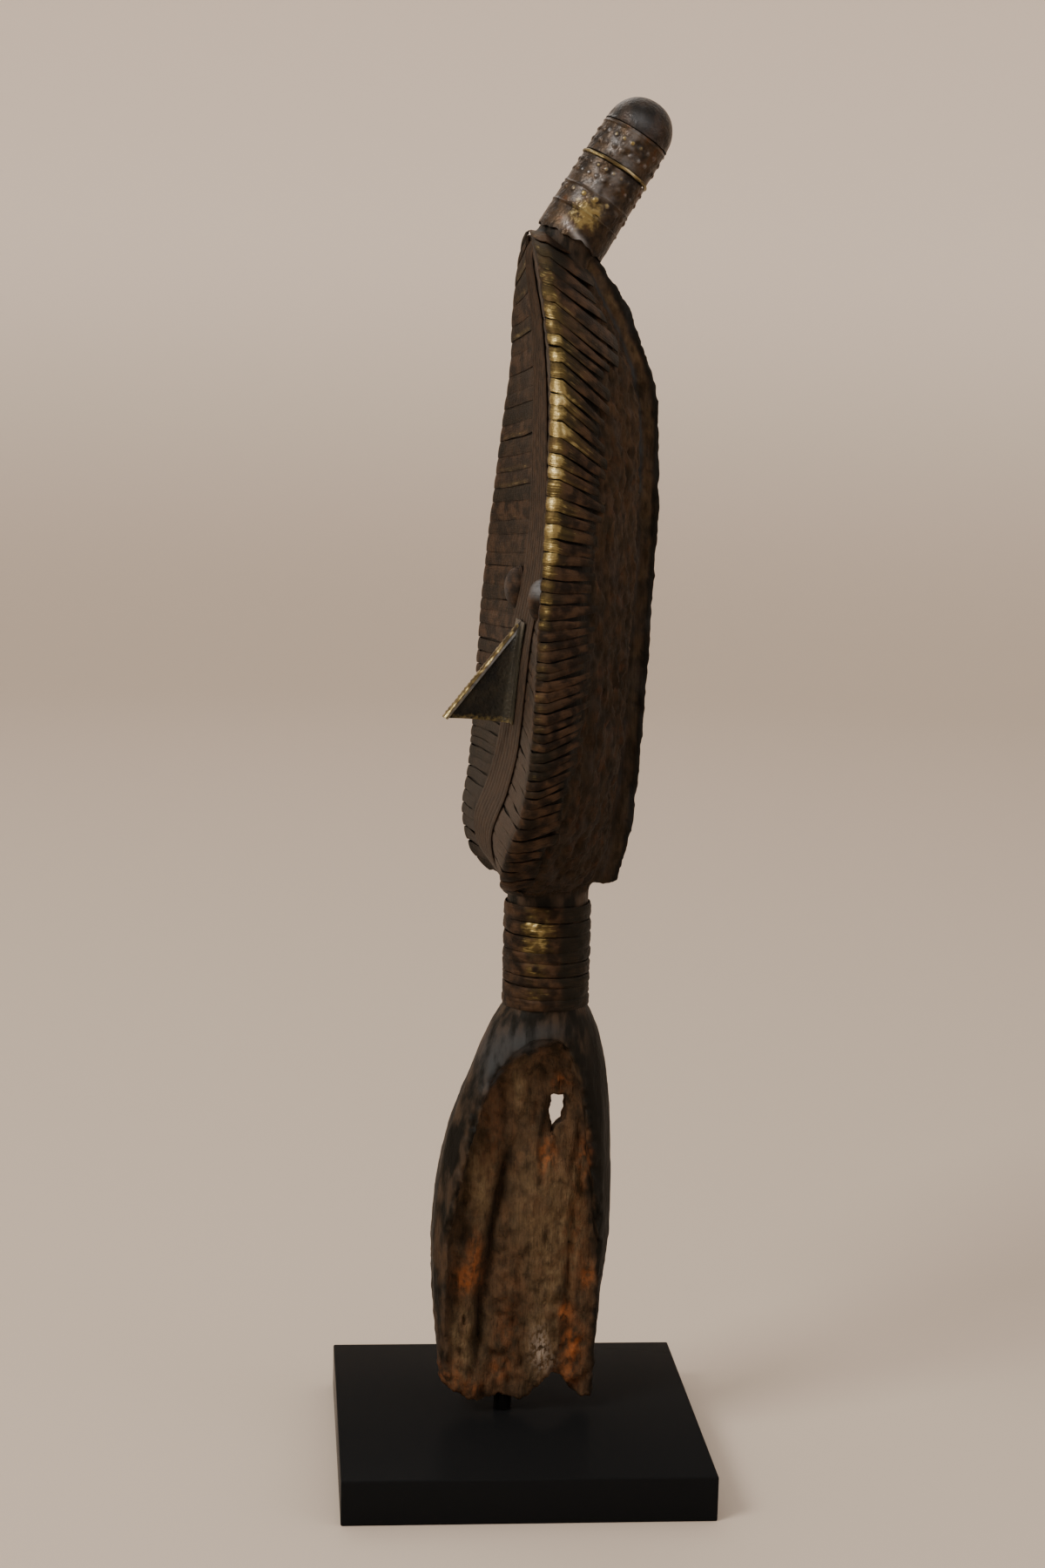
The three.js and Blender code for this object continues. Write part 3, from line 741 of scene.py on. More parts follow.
@dataclass(frozen=True)
class BlackenedSteel(Finish):
    """A turned steel pin, heat-blackened: dark grey with a dull shine."""

    grey: str = "#1d1e20"
    roughness: float = 0.55
    haze_size: Size = (2, 2, 2)

    def build(self) -> bpy.types.Material:
        """Makes the finish.

        Returns:
            The material.
        """
        material, add, shader = self.start()
        haze = self.pattern(add, self.haze_size)
        feed(shader, "Base Color", self.grey)
        feed(shader, "Metallic", 1.0)
        feed(shader, "Roughness", add(Node.RANGE, haze, self.roughness - 0.08, self.roughness + 0.08))
        return material


@dataclass(frozen=True)
class StudioPaper(Finish):
    """A matt warm paper sweep, a little deeper in colour on the floor."""

    floor: str = "#c2b6a9"
    wall: str = "#f5ebe0"
    fade: float = 0.7
    roughness: float = 0.9
    specular: float = 0.1

    def build(self) -> bpy.types.Material:
        """Makes the finish.

        Returns:
            The material.
        """
        material, add, shader = self.start()
        height = add(Node.MASK, add(Node.HEIGHT, add(Node.PLACE)), 0.0, self.fade)
        feed(shader, "Base Color", self.coats(add, self.floor, (height, self.wall)))
        feed(shader, "Roughness", self.roughness)
        feed(shader, "Specular IOR Level", self.specular)
        return material


def made_by(finish: Finish) -> bpy.types.Material:
    """A field with a finish's material, which is made when the fields are filled."""
    return field(default_factory=finish.build)


@dataclass(frozen=True)
class Finishes:
    """One material of each finish."""

    strips: bpy.types.Material = made_by(AgedBrass("aged_brass"))
    # The bright finish's bluish dust colour is painted highlight on the lip and the eyes.
    bright: bpy.types.Material = made_by(
        AgedBrass("worn_bright_brass", gold="#877a54", pale="#b5ab88", dust="#6f7377")
    )
    sheet: bpy.types.Material = made_by(DarkBrass("dark_brass_sheet"))
    cap: bpy.types.Material = made_by(
        DarkBrass(
            "dark_brass_cap", black="#14110e", brown="#2a2119", red="#33241a", painted_sheen="#5f6267", metal=0.4
        )
    )
    blade: bpy.types.Material = made_by(
        DarkBrass("smoked_brass_blade", black="#131517", brown="#211f1b", red="#2a2721", painted_sheen="#4c4a40")
    )
    wood: bpy.types.Material = made_by(PatinatedWood("patinated_hardwood"))
    lacquer: bpy.types.Material = made_by(BlackLacquer("black_lacquer"))
    steel: bpy.types.Material = made_by(BlackenedSteel("blackened_steel"))
    paper: bpy.types.Material = made_by(StudioPaper("paper_sweep"))


# The head's form


@dataclass(frozen=True)
class HeadForm:
    """The bare head: a leaf outline seen from the front, and side profiles by height."""

    face: Curve = Curve(
        (237.5, -6),
        (247, -13),
        (255, -18),
        (264, -19.5),
        (284, -13.2),
        (303, -9),
        (345, -5),
        (380, 0.4),
        (400, 1.6),
        (445, 1.2),
        (480, -1),
        (505, -4.8),
        (518, -5.8),
    )
    rim: Curve = Curve(
        (237.5, -7),
        (242, -14),
        (248, -18.6),
        (258, -20),
        (283, -15.5),
        (310, -12.8),
        (355, -11),
        (400, -8.1),
        (430, -6.1),
        (462, -4.4),
        (490, -5.8),
        (518, -6.4),
    )
    back: Curve = Curve(
        (237.5, 22),
        (243, 30),
        (260, 35),
        (290, 38),
        (344, 40.7),
        (400, 42.8),
        (432, 42.6),
        (456, 39.5),
        (476, 32),
        (495, 22),
        (506, 15),
        (518, -2),
    )
    band: Curve = Curve((240, 19), (270, 24), (330, 24), (400, 19), (470, 13), (500, 8), (518, 5))
    tip: float = 519.5
    base: float = 236.0
    widest: float = 318.0
    widest_half: float = 80.5
    tip_power: float = 1.7
    base_power: float = 2.6
    rim_radius: float = 3.4
    rim_share: float = 0.3
    least_half: float = 5.0
    band_share: float = 0.25
    band_most: float = 0.6
    hollow_power: float = 1.5
    back_power: float = 1.2

    def half_width(self, z: Numbers) -> Numbers:
        """Half the leaf's width.

        Args:
            z: the heights.

        Returns:
            The half widths there.
        """
        up = z > self.widest
        reach = np.where(up, self.tip - self.widest, self.widest - self.base)
        share = np.clip(np.abs(z - self.widest) / reach, 0, 1)
        power = np.where(up, self.tip_power, self.base_power)
        return np.maximum(self.widest_half * np.sqrt(1 - share**power), self.least_half)

    def point(self, place: Numbers, z: Numbers) -> tuple[Numbers, Numbers]:
        """Points of one half of the head's level sections.

        Args:
            place: 0 at the middle of the face, 1 to 2 round the rim, and 3 at the middle of the back.
            z: the heights of the sections.

        Returns:
            The points' X and Y.
        """
        half = self.half_width(z)
        rim = np.minimum(self.rim_radius, self.rim_share * half)
        front = self.rim(z)
        rim_x = half - rim
        band_x = np.minimum(self.band(z), self.band_most * rim_x)
        face = self.face(z)
        along = np.clip((place - self.band_share) / (1 - self.band_share), 0, 1)
        turn = np.clip(place - 1, 0, 1) * math.pi / 2
        over = np.clip(place - 2, 0, 1) * math.pi / 2
        start = front + rim
        depth = np.maximum(self.back(z) - start, 1)
        zones = [place <= self.band_share, place <= 1, place <= 2]
        x = np.select(
            zones,
            [band_x * place / self.band_share, band_x + (rim_x - band_x) * along, rim_x + rim * np.sin(turn)],
            half * np.cos(over) ** self.back_power,
        )
        y = np.select(
            zones,
            [face, face + (front - face) * along**self.hollow_power, front + rim * (1 - np.cos(turn))],
            start + depth * np.sin(over) ** self.back_power,
        )
        return x, y

    def skin(self, place: Numbers, z: Numbers, offset: Numbers | float) -> tuple[Numbers, Numbers]:
        """Points that stand off the sections.

        Args:
            place: the points' places round the sections, as for point.
            z: the heights of the sections.
            offset: how far the points stand off the wood.

        Returns:
            The points' X and Y.
        """
        step = 0.02
        x0, y0 = self.point(np.maximum(place - step, 0), z)
        x1, y1 = self.point(np.minimum(place + step, 3 - 1e-6), z)
        length = np.hypot(x1 - x0, y1 - y0)
        x, y = self.point(place, z)
        return x + offset * (y1 - y0) / length, y - offset * (x1 - x0) / length


# Sheathing of the face


@dataclass
class FaceStrips:
    """The brass strips of one side: from the centre band across the face and over the rim to ragged ends."""

    side: Side
    head: HeadForm
    pitch: Curve = Curve((243, 5.4), (280, 4.6), (292, 3.9), (350, 3.9), (364, 5.4), (509, 6.0))
    far_pitch: Curve = Curve((243, 5.2), (300, 4.6), (335, 5.4), (375, 7.0), (509, 7.5))
    lowest: float = 240.5
    highest: float = 516.0
    face_fall: Curve = Curve((243, 0.03), (340, 0.05), (430, 0.15), (480, 0.24), (496, 0.6), (509, 1))
    back_fall: Curve = Curve(
        (243, -0.12),
        (300, -0.38),
        (340, -0.22),
        (368, 0),
        (388, 0.18),
        (422, 0.5),
        (450, 0.85),
        (509, 1),
    )
    end_line: Curve = Curve((243, -9), (265, -5), (322, 7.5), (378, 10.5), (430, 15), (490, 16), (509, 9))
    # How strongly the rim is rubbed to gold at each height, which also lays painted highlight there.
    rim_rub_and_highlight: Curve = Curve(
        (275, 0.08),
        (300, 0.2),
        (345, 0.26),
        (378, 0.52),
        (390, 1.2),
        (420, 1.2),
        (436, 1.3),
        (452, 1.35),
        (466, 1.05),
        (480, 0.7),
        (500, 0.3),
    )
    ragged: float = 2.8
    cover: float = 0.89
    groove: float = 1.05
    crest: float = 1.5
    lower_edge: float = 1.3
    crest_share: float = 0.4
    thickness: float = 0.45
    start: float = 0.235
    face_part: float = 0.42
    rim_part: float = 0.62
    run: tuple[float, ...] = (0, 52, 58, 82)
    lapped_above: float = 335.0
    columns: int = 34
    rows: int = 6
    floor_height: float = 238.6

    def cross_section(self, v: Numbers) -> Numbers:
        """The strip's offset from the wood, from its lapped lower edge over its crest.

        Args:
            v: places across the strip, from 0 to 1.

        Returns:
            The offsets there.
        """
        below = 1 - v / self.crest_share
        above = (v - self.crest_share) / (1 - self.crest_share)
        low = self.crest - (self.crest - self.lower_edge) * below**2
        high = self.crest - (self.crest - self.groove) * above**2
        return np.where(v < self.crest_share, low, high)

    def surface(self, low: float, width: float, index: int) -> Surface:
        """The laid shape of one strip.

        Args:
            low: the height of its lower edge at the rim.
            width: its width.
            index: its number, which picks how ragged, curled and skewed it is.

        Returns:
            A function from u along the strip and v across it to places.
        """
        shift = self.ragged * (2 * chance(index, self.side.value) - 1)
        curl = 0.9 * chance(index, 3) ** 2
        skew = 1.3 * (chance(index, 4) - 0.5)
        swell = -0.22 * chance(index, 5)

        def lay(u: Numbers, v: Numbers) -> Numbers:
            """Lays the strip's grid on the head.

            Args:
                u: places along the strip.
                v: places across it.

            Returns:
                The points, one row each.
            """
            wobble = grain(np.stack([u * 5, v * 0, v * 0], 1), (1, 1, 1), index * 7.3 + self.side.value)
            taper = 1 - (0.05 + 0.4 * chance(index, 6)) * smooth_step(u, 0.7, 1)
            across = 0.5 + (v - 0.5) * taper
            z = low + across * width + 0.55 * wobble + skew * (u - 0.5) * 2
            z = np.minimum(z, self.head.tip - 1.2)
            half = self.head.half_width(z)
            rim_y = self.head.point(np.full(len(z), 2.0), z)[1]
            back_depth = np.maximum(self.head.back(z) - rim_y, 1)
            wanted = (self.end_line(z) + shift + 1.1 * wobble - rim_y) / back_depth
            end = 2 + 2 / math.pi * np.arcsin(np.clip(wanted, 0.05, 0.9) ** (1 / self.head.back_power))
            on_face = self.start + (1 - self.start) * u / self.face_part
            on_rim = 1 + (u - self.face_part) / (self.rim_part - self.face_part)
            behind = 2 + (end - 2) * (u - self.rim_part) / (1 - self.rim_part)
            place = np.where(u < self.face_part, on_face, np.where(u < self.rim_part, on_rim, behind))
            x, y = self.head.point(place, z)
            room = np.maximum(self.head.tip - 0.8 - z, 0.2)
            rise = np.where(place < 2, self.face_fall(z) * (half - x), 0)
            fall = np.where(place < 2, 0, self.back_fall(z) * (y - rim_y))
            height = np.maximum(z + room * (1 - np.exp(-rise / room)) - fall, self.floor_height)
            offset = self.cross_section(v) + swell * (1 + wobble)
            offset = np.minimum(offset, self.crest) * (0.55 + 0.45 * smooth_step(u, 0.0, 0.09))
            offset = offset + curl * smooth_step(u, 0.86, 1)
            x, y = self.head.skin(place, height, offset)
            return np.stack([self.side.value * x, y, height], 1)

        return lay

    def build(self, finishes: Finishes) -> bpy.types.Object:
        """Makes all the strips of the side.

        Args:
            finishes: the materials.

        Returns:
            The piece.
        """
        bm = start_mesh()
        stations = (0, self.face_part, self.rim_part, 1)
        usual = self.pitch if self.side is Side.LEFT else self.far_pitch
        low = self.lowest
        index = 0
        while low < self.highest:
            pitch = float(usual(low)) * (0.8 + 0.4 * chance(index, 1))
            cover = self.cover + 0.1 * chance(index, 7) * (low > self.lapped_above)
            if self.side is Side.RIGHT and low > self.lapped_above:
                cover = 1.0 + 0.06 * chance(index, 7)
            width = pitch * cover
            verts, u, v = add_sheet(bm, self.columns, self.rows, self.surface(low, width, index))
            if self.side is Side.RIGHT:
                turn_over(bm, verts)
            self.dress(bm, verts, u, v, index)
            shade(bm, verts, along=np.interp(u, stations, self.run), across=v * width + 41 * index)
            low += pitch
            index += 1
        thicken(bm, self.thickness)
        side = self.side.name.lower()
        return make_piece(f"brass_strips_{side}", bm, finishes.strips, [f"face_strips_{side}"])

    def dress(self, bm: bmesh.types.BMesh, verts: Verts, u: Numbers, v: Numbers, index: int) -> None:
        """Writes one strip's marks: gold at the rim, rubbed brass with painted highlight on its crest, dust
        on the face, a tone of its own, and painted shadow at its ragged end.

        Args:
            bm: the side's mesh.
            verts: the strip's vertices.
            u: their places along the strip.
            v: their places across it.
            index: the strip's number, which picks its marks.
        """
        height = places_of(verts)[:, 2]
        # Gold at the rim is rubbed brass and painted highlight: core is its band round the rim's turn, crest
        # the painted highlight across each strip.
        reach = 0.1 + 0.25 * smooth_step(height, 372, 400)
        broad = 0.55 + 0.05 * smooth_step(height, 350, 400)
        core = smooth_step(u, self.face_part, 0.48) * np.exp(-np.clip((u - broad) / 0.07, 0, 9) ** 2)
        behind = smooth_step(u, 0.44, 0.5) * np.exp(-np.clip((u - 0.5) / reach, 0, 9) ** 1.5)
        edges = 0.5 + 0.5 * np.maximum(hill(v, 0.12, 0.16), hill(v, 0.6, 0.2) * (chance(index, 12) > 0.4))
        crest = 0.62 + 0.38 * hill(v, 0.35 + 0.3 * chance(index, 14), 0.28)
        at_rim = np.maximum(1.5 * core * crest, 0.8 * behind * edges)
        rub = at_rim * self.rim_rub_and_highlight(height) * (0.4 + 0.7 * chance(index, 8))
        low_face = 1 - smooth_step(height, 300, 340)
        own = 0.35 * chance(index, 10)
        green = 0.0
        if self.side is Side.LEFT:
            own = own + (0.75 - own) * low_face
        else:
            own = 0.5 * own
            green = 0.9 * low_face * (u < self.face_part)
            strokes = hill(v, 0.15, 0.2) * smooth_step(u, 0.04, 0.12) * (1 - smooth_step(u, 0.36, 0.44))
            rub = np.maximum(rub, 0.55 * strokes * chance(index, 13) * smooth_step(height, 350, 390))
        dust = own * (1 - smooth_step(u, 0.32, 0.43))
        tone = (0.15 + 0.7 * chance(index, 9)) * (1 - 0.8 * smooth_step(u, 0.7, 0.86))
        # Painted shadow on the strips' ragged ends, laid through the tone.
        ends = 0.75 * smooth_step(u, 0.88, 1)
        shade(bm, verts, rub=rub, dust=dust, tone=np.maximum(tone + ends, green))


@dataclass
class CentreBand:
    """The fine upright strips down the middle of the face, which turn back over the crown."""

    head: HeadForm
    strips: int = 8
    lowest: float = 240.0
    highest: float = 518.0
    groove: float = 1.5
    crest: float = 2.2
    thickness: float = 0.5
    columns: int = 4
    rows: int = 110
    crown: float = 506.0
    crown_depth: float = 6.0
    gap_share: float = 0.04
    cover: float = 0.92
    overlap: float = 0.6

    def surface(self, index: int) -> Surface:
        """The laid shape of one upright strip.

        Args:
            index: its number from the right-hand side.

        Returns:
            A function from u across the strip and v up it to places.
        """

        def lay(u: Numbers, v: Numbers) -> Numbers:
            """Lays the strip's grid on the middle of the face.

            Args:
                u: places across the strip.
                v: places up it.

            Returns:
                The points, one row each.
            """
            z = self.lowest + (self.highest - self.lowest) * v
            wobble = grain(np.stack([v * 22, u * 0, u * 0], 1), (1, 1, 1), index * 5.1)
            edge = self.head.point(np.full(len(z), self.head.band_share), z)[0] + self.overlap
            across = (index + self.gap_share + self.cover * u) / self.strips * 2 - 1
            x = edge * across + 0.25 * wobble
            offset = self.groove + (self.crest - self.groove) * np.sin(math.pi * u) ** 0.8 + 0.12 * wobble
            turned = smooth_step(z, self.crown, self.highest)
            y = self.head.face(z) - offset + self.crown_depth * turned**2
            return np.stack([x, y, z + 2.5 * turned], 1)

        return lay

    def build(self, finishes: Finishes) -> bpy.types.Object:
        """Makes the band.

        Args:
            finishes: the materials.

        Returns:
            The piece.
        """
        bm = start_mesh()
        for index in range(self.strips):
            verts, u, _ = add_sheet(bm, self.columns, self.rows, self.surface(index))
            height = places_of(verts)[:, 2]
            dust = 0.3 + 0.25 * (1 - smooth_step(height, 330, 420)) + 0.3 * np.sin(math.pi * u)
            shade(bm, verts, dust=dust, tone=0.3 * chance(index, 2), along=height, across=5 * u + 31 * index)
        thicken(bm, self.thickness)
        return make_piece("brass_centre_band", bm, finishes.strips, ["centre_band"])


# Nose and eyes


@dataclass
class Nose:
    """A blade of folded sheet with a flange on the band, and the bright lip folded over its front edge."""

    head: HeadForm
    top: tuple[float, float] = (-6.0, 354.5)
    tip: tuple[float, float] = (-38.9, 312.6)
    foot: float = 311.0
    edge_half: float = 1.3
    root_half: float = 3.6
    flange: float = 5.5
    flange_bend: float = 1.6
    thickness: float = 0.6
    lip_out: float = 0.8
    lip_leg: float = 1.1
    band_offset: float = 2.5
    flank_share: float = 0.8
    flange_share: float = 0.2
    turn_share: float = 0.4
    leg_share: float = 0.6
    lip_thickness: float = 0.45
    sole_reach: float = 0.97
    blade_grid: tuple[int, int] = (60, 30)
    sole_grid: tuple[int, int] = (4, 20)
    lip_grid: tuple[int, int] = (20, 60)

    def front(self, v: Numbers) -> tuple[Numbers, Numbers]:
        """The front edge, from its tip up to its top.

        Args:
            v: places up it, from 0 to 1.

        Returns:
            The Y and the height there.
        """
        return (
            self.tip[0] + (self.top[0] - self.tip[0]) * v,
            self.tip[1] + (self.top[1] - self.tip[1]) * v,
        )

    def blade(self, u: Numbers, v: Numbers) -> Numbers:
        """The folded sheet.

        Args:
            u: places from one flange round the front edge to the other.
            v: places up it.

        Returns:
            The points, one row each.
        """
        across = 2 * u - 1
        reach = np.abs(across)
        front_y, front_z = self.front(v)
        low = self.foot + (self.tip[1] - self.foot) * smooth_step(1 - reach, 0.2, 1)
        root_z = low + (self.top[1] - self.foot) * v
        root_y = self.head.face(root_z) - self.band_offset
        flank = np.clip(reach / self.flank_share, 0, 1)
        out = np.clip((reach - self.flank_share) / self.flange_share, 0, 1)
        half = self.edge_half * np.sin(np.clip(flank / 0.06, 0, 1) * math.pi / 2)
        half = half + (self.root_half - self.edge_half) * flank**1.6
        bend = smooth_step(flank, 0.86, 1) * self.flange_bend
        half = half + bend + self.flange * out
        y = front_y + (root_y - front_y) * flank
        z = front_z + (root_z - front_z) * flank
        dent = 0.35 * grain(np.stack([u * 30, v * 30, v * 0], 1), (9, 9, 9), 2.7)
        return np.stack([np.sign(across) * (half + dent * flank * (1 - flank)), y, z], 1)

    def sole(self, u: Numbers, v: Numbers) -> Numbers:
        """The sheet that closes the blade's lower end, by u across it and v towards its root."""
        edge = self.blade(0.5 + 0.4 * v * self.sole_reach, np.zeros(len(v)))
        return np.stack([edge[:, 0] * (1 - 2 * u), edge[:, 1], edge[:, 2] + 0.5], 1)

    def lip(self, u: Numbers, v: Numbers) -> Numbers:
        """The lip's channel, beaded by the punch marks along it.

        Args:
            u: places from one leg of the channel to the other.
            v: places up it.

        Returns:
            The points, one row each.
        """
        run_y, run_z = self.top[0] - self.tip[0], self.top[1] - self.tip[1]
        length = math.hypot(run_y, run_z)
        share = 0.005 + 0.955 * v
        front_y, front_z = self.front(share)
        across = 2 * u - 1
        turn = np.clip(np.abs(across) / self.turn_share, 0, 1) * math.pi / 2
        leg = np.clip((np.abs(across) - self.turn_share) / self.leg_share, 0, 1)
        bead = 0.2 * np.sin(share * length * 2.9) * np.cos(turn) ** 0.5
        half = (self.edge_half + self.lip_out) * np.sin(turn) + 0.35 * leg
        depth = self.lip_leg * leg - self.lip_out * np.cos(turn) - bead + 0.4
        y = front_y + depth * (run_z / length)
        z = front_z + depth * (-run_y / length)
        return np.stack([np.sign(across) * half, y, z], 1)

    def build_blade(self, finishes: Finishes) -> bpy.types.Object:
        """Makes the blade, closed below by its sole.

        Args:
            finishes: the materials.

        Returns:
            The piece.
        """
        bm = start_mesh()
        verts, u, v = add_sheet(bm, *self.blade_grid, self.blade)
        reach = np.abs(2 * u - 1)
        flange = smooth_step(reach, 0.78, 0.86)
        low = 1 - smooth_step(v, 0.0, 0.1)
        root = smooth_step(reach, 0.42, 0.72)
        # rub marks the brown-gold lower edge; dust paints a lighter sheen towards the root and on the flange.
        shade(bm, verts, rub=0.45 * low, dust=0.1 + 0.3 * root + 0.55 * flange - 0.1 * low)
        verts, _, _ = add_sheet(bm, *self.sole_grid, self.sole)
        shade(bm, verts, rub=0.5, dust=0.1)
        bmesh.ops.reverse_faces(bm, faces=bm.faces[:])
        thicken(bm, self.thickness)
        return make_piece("nose_blade", bm, finishes.blade, ["nose"])

    def build_lip(self, finishes: Finishes) -> bpy.types.Object:
        """Makes the bright lip.

        Args:
            finishes: the materials.

        Returns:
            The piece.
        """
        bm = start_mesh()
        verts, u, v = add_sheet(bm, *self.lip_grid, self.lip)
        notch = grain(places_of(verts), (2.5, 2.5, 2.5), 5.0)
        leg = smooth_step(np.abs(2 * u - 1), 0.3, 0.6)
        rub = (1 - 0.7 * leg) * (0.7 + 0.6 * notch) + 0.2 * (1 - v)
        # dust paints a bluish highlight on the lip's legs, stronger towards the top, speckled by the notch
        # noise.
        shade(bm, verts, rub=rub, dust=leg * (0.3 + 0.6 * v) + 0.3 * notch, along=52 * v, across=4 * u)
        bmesh.ops.reverse_faces(bm, faces=bm.faces[:])
        thicken(bm, self.lip_thickness)
        return make_piece("nose_bright_lip", bm, finishes.bright, ["nose_lip"])

    def build(self, finishes: Finishes) -> list[bpy.types.Object]:
        """Makes the blade and its lip."""
        return [self.build_blade(finishes), self.build_lip(finishes)]


@dataclass
class Eye:
    """A domed boss with a narrow flange, hammered from one disc."""

    side: Side
    head: HeadForm
    height: float = 366.0
    across: float = 30.0
    radius: float = 9.0
    rise: float = 5.5
    offset: float = 1.7
    thickness: float = 0.6
    rings: int = 12
    steps: int = 48
    flange: Section = ((0.8, -1.2), (0.5, -0.2))

    def build(self, finishes: Finishes) -> bpy.types.Object:
        """Makes the boss.

        Args:
            finishes: the materials.

        Returns:
            The piece.
        """
        bm = start_mesh()
        section = [(self.radius + out, height) for out, height in self.flange]
        for step in range(self.rings + 1):
            angle = step / self.rings * math.pi / 2
            section.append((self.radius * math.cos(angle), self.rise * math.sin(angle)))
        verts = add_ring(bm, section, self.steps, closed=False)
        flat = places_of(verts)
        dent = 0.18 * grain(flat, (5, 5, 5), self.side.value * 3.1)
        flat[:, 2] += dent
        # top and upper mark painted highlight: dust paints it on the upper side of the left eye and round the
        # top of the right eye, and rub adds a little gold on the top.
        top = hill(to_rings(flat)[1], 0, 5.5)
        upper = smooth_step(flat[:, 1], 0, 5) * smooth_step(self.side.value * flat[:, 0], -2, 4)
        face = float(self.head.face(self.height)) - self.offset
        put(verts, flat)
        turned = Matrix.Translation((self.side.value * self.across, face, self.height))
        bmesh.ops.transform(bm, matrix=turned @ Matrix.Rotation(math.pi / 2, 4, "X"), verts=bm.verts)
        dust = 0.75 * upper if self.side is Side.LEFT else 0.25 * top
        shade(bm, verts, rub=0.1 * top, dust=dust, tone=0.4, along=flat[:, 0], across=flat[:, 1])
        thicken(bm, self.thickness)
        side = self.side.name.lower()
        return make_piece(f"eye_boss_{side}", bm, finishes.bright, [f"eye_{side}"])


# Chignon


@dataclass(frozen=True)
class BossRow:
    """A row of small punched bosses round the chignon."""

    along: float
    spacing: float = 3.7
    radius: float = 1.15
    rise: float = 0.6
    shift: float = 0.0
    gold: float = 0.2


@dataclass(frozen=True)
class Sheet:
    """One sheet bent round the chignon, from start to end along its axis.

    ridge is the place of the raised line round it, tear how far its lower edge is torn, gold how strongly its
    front is rubbed, haze the strength of its painted grey sheen in front, and glint the strength of the
    painted highlight that slants across it.
    """

    name: str
    node: str
    start: float
    end: float
    ridge: float
    bosses: tuple[BossRow, ...] = ()
    tear: float = 0.0
    gold: float = 0.0
    haze: float = 0.42
    glint: float = 0.0


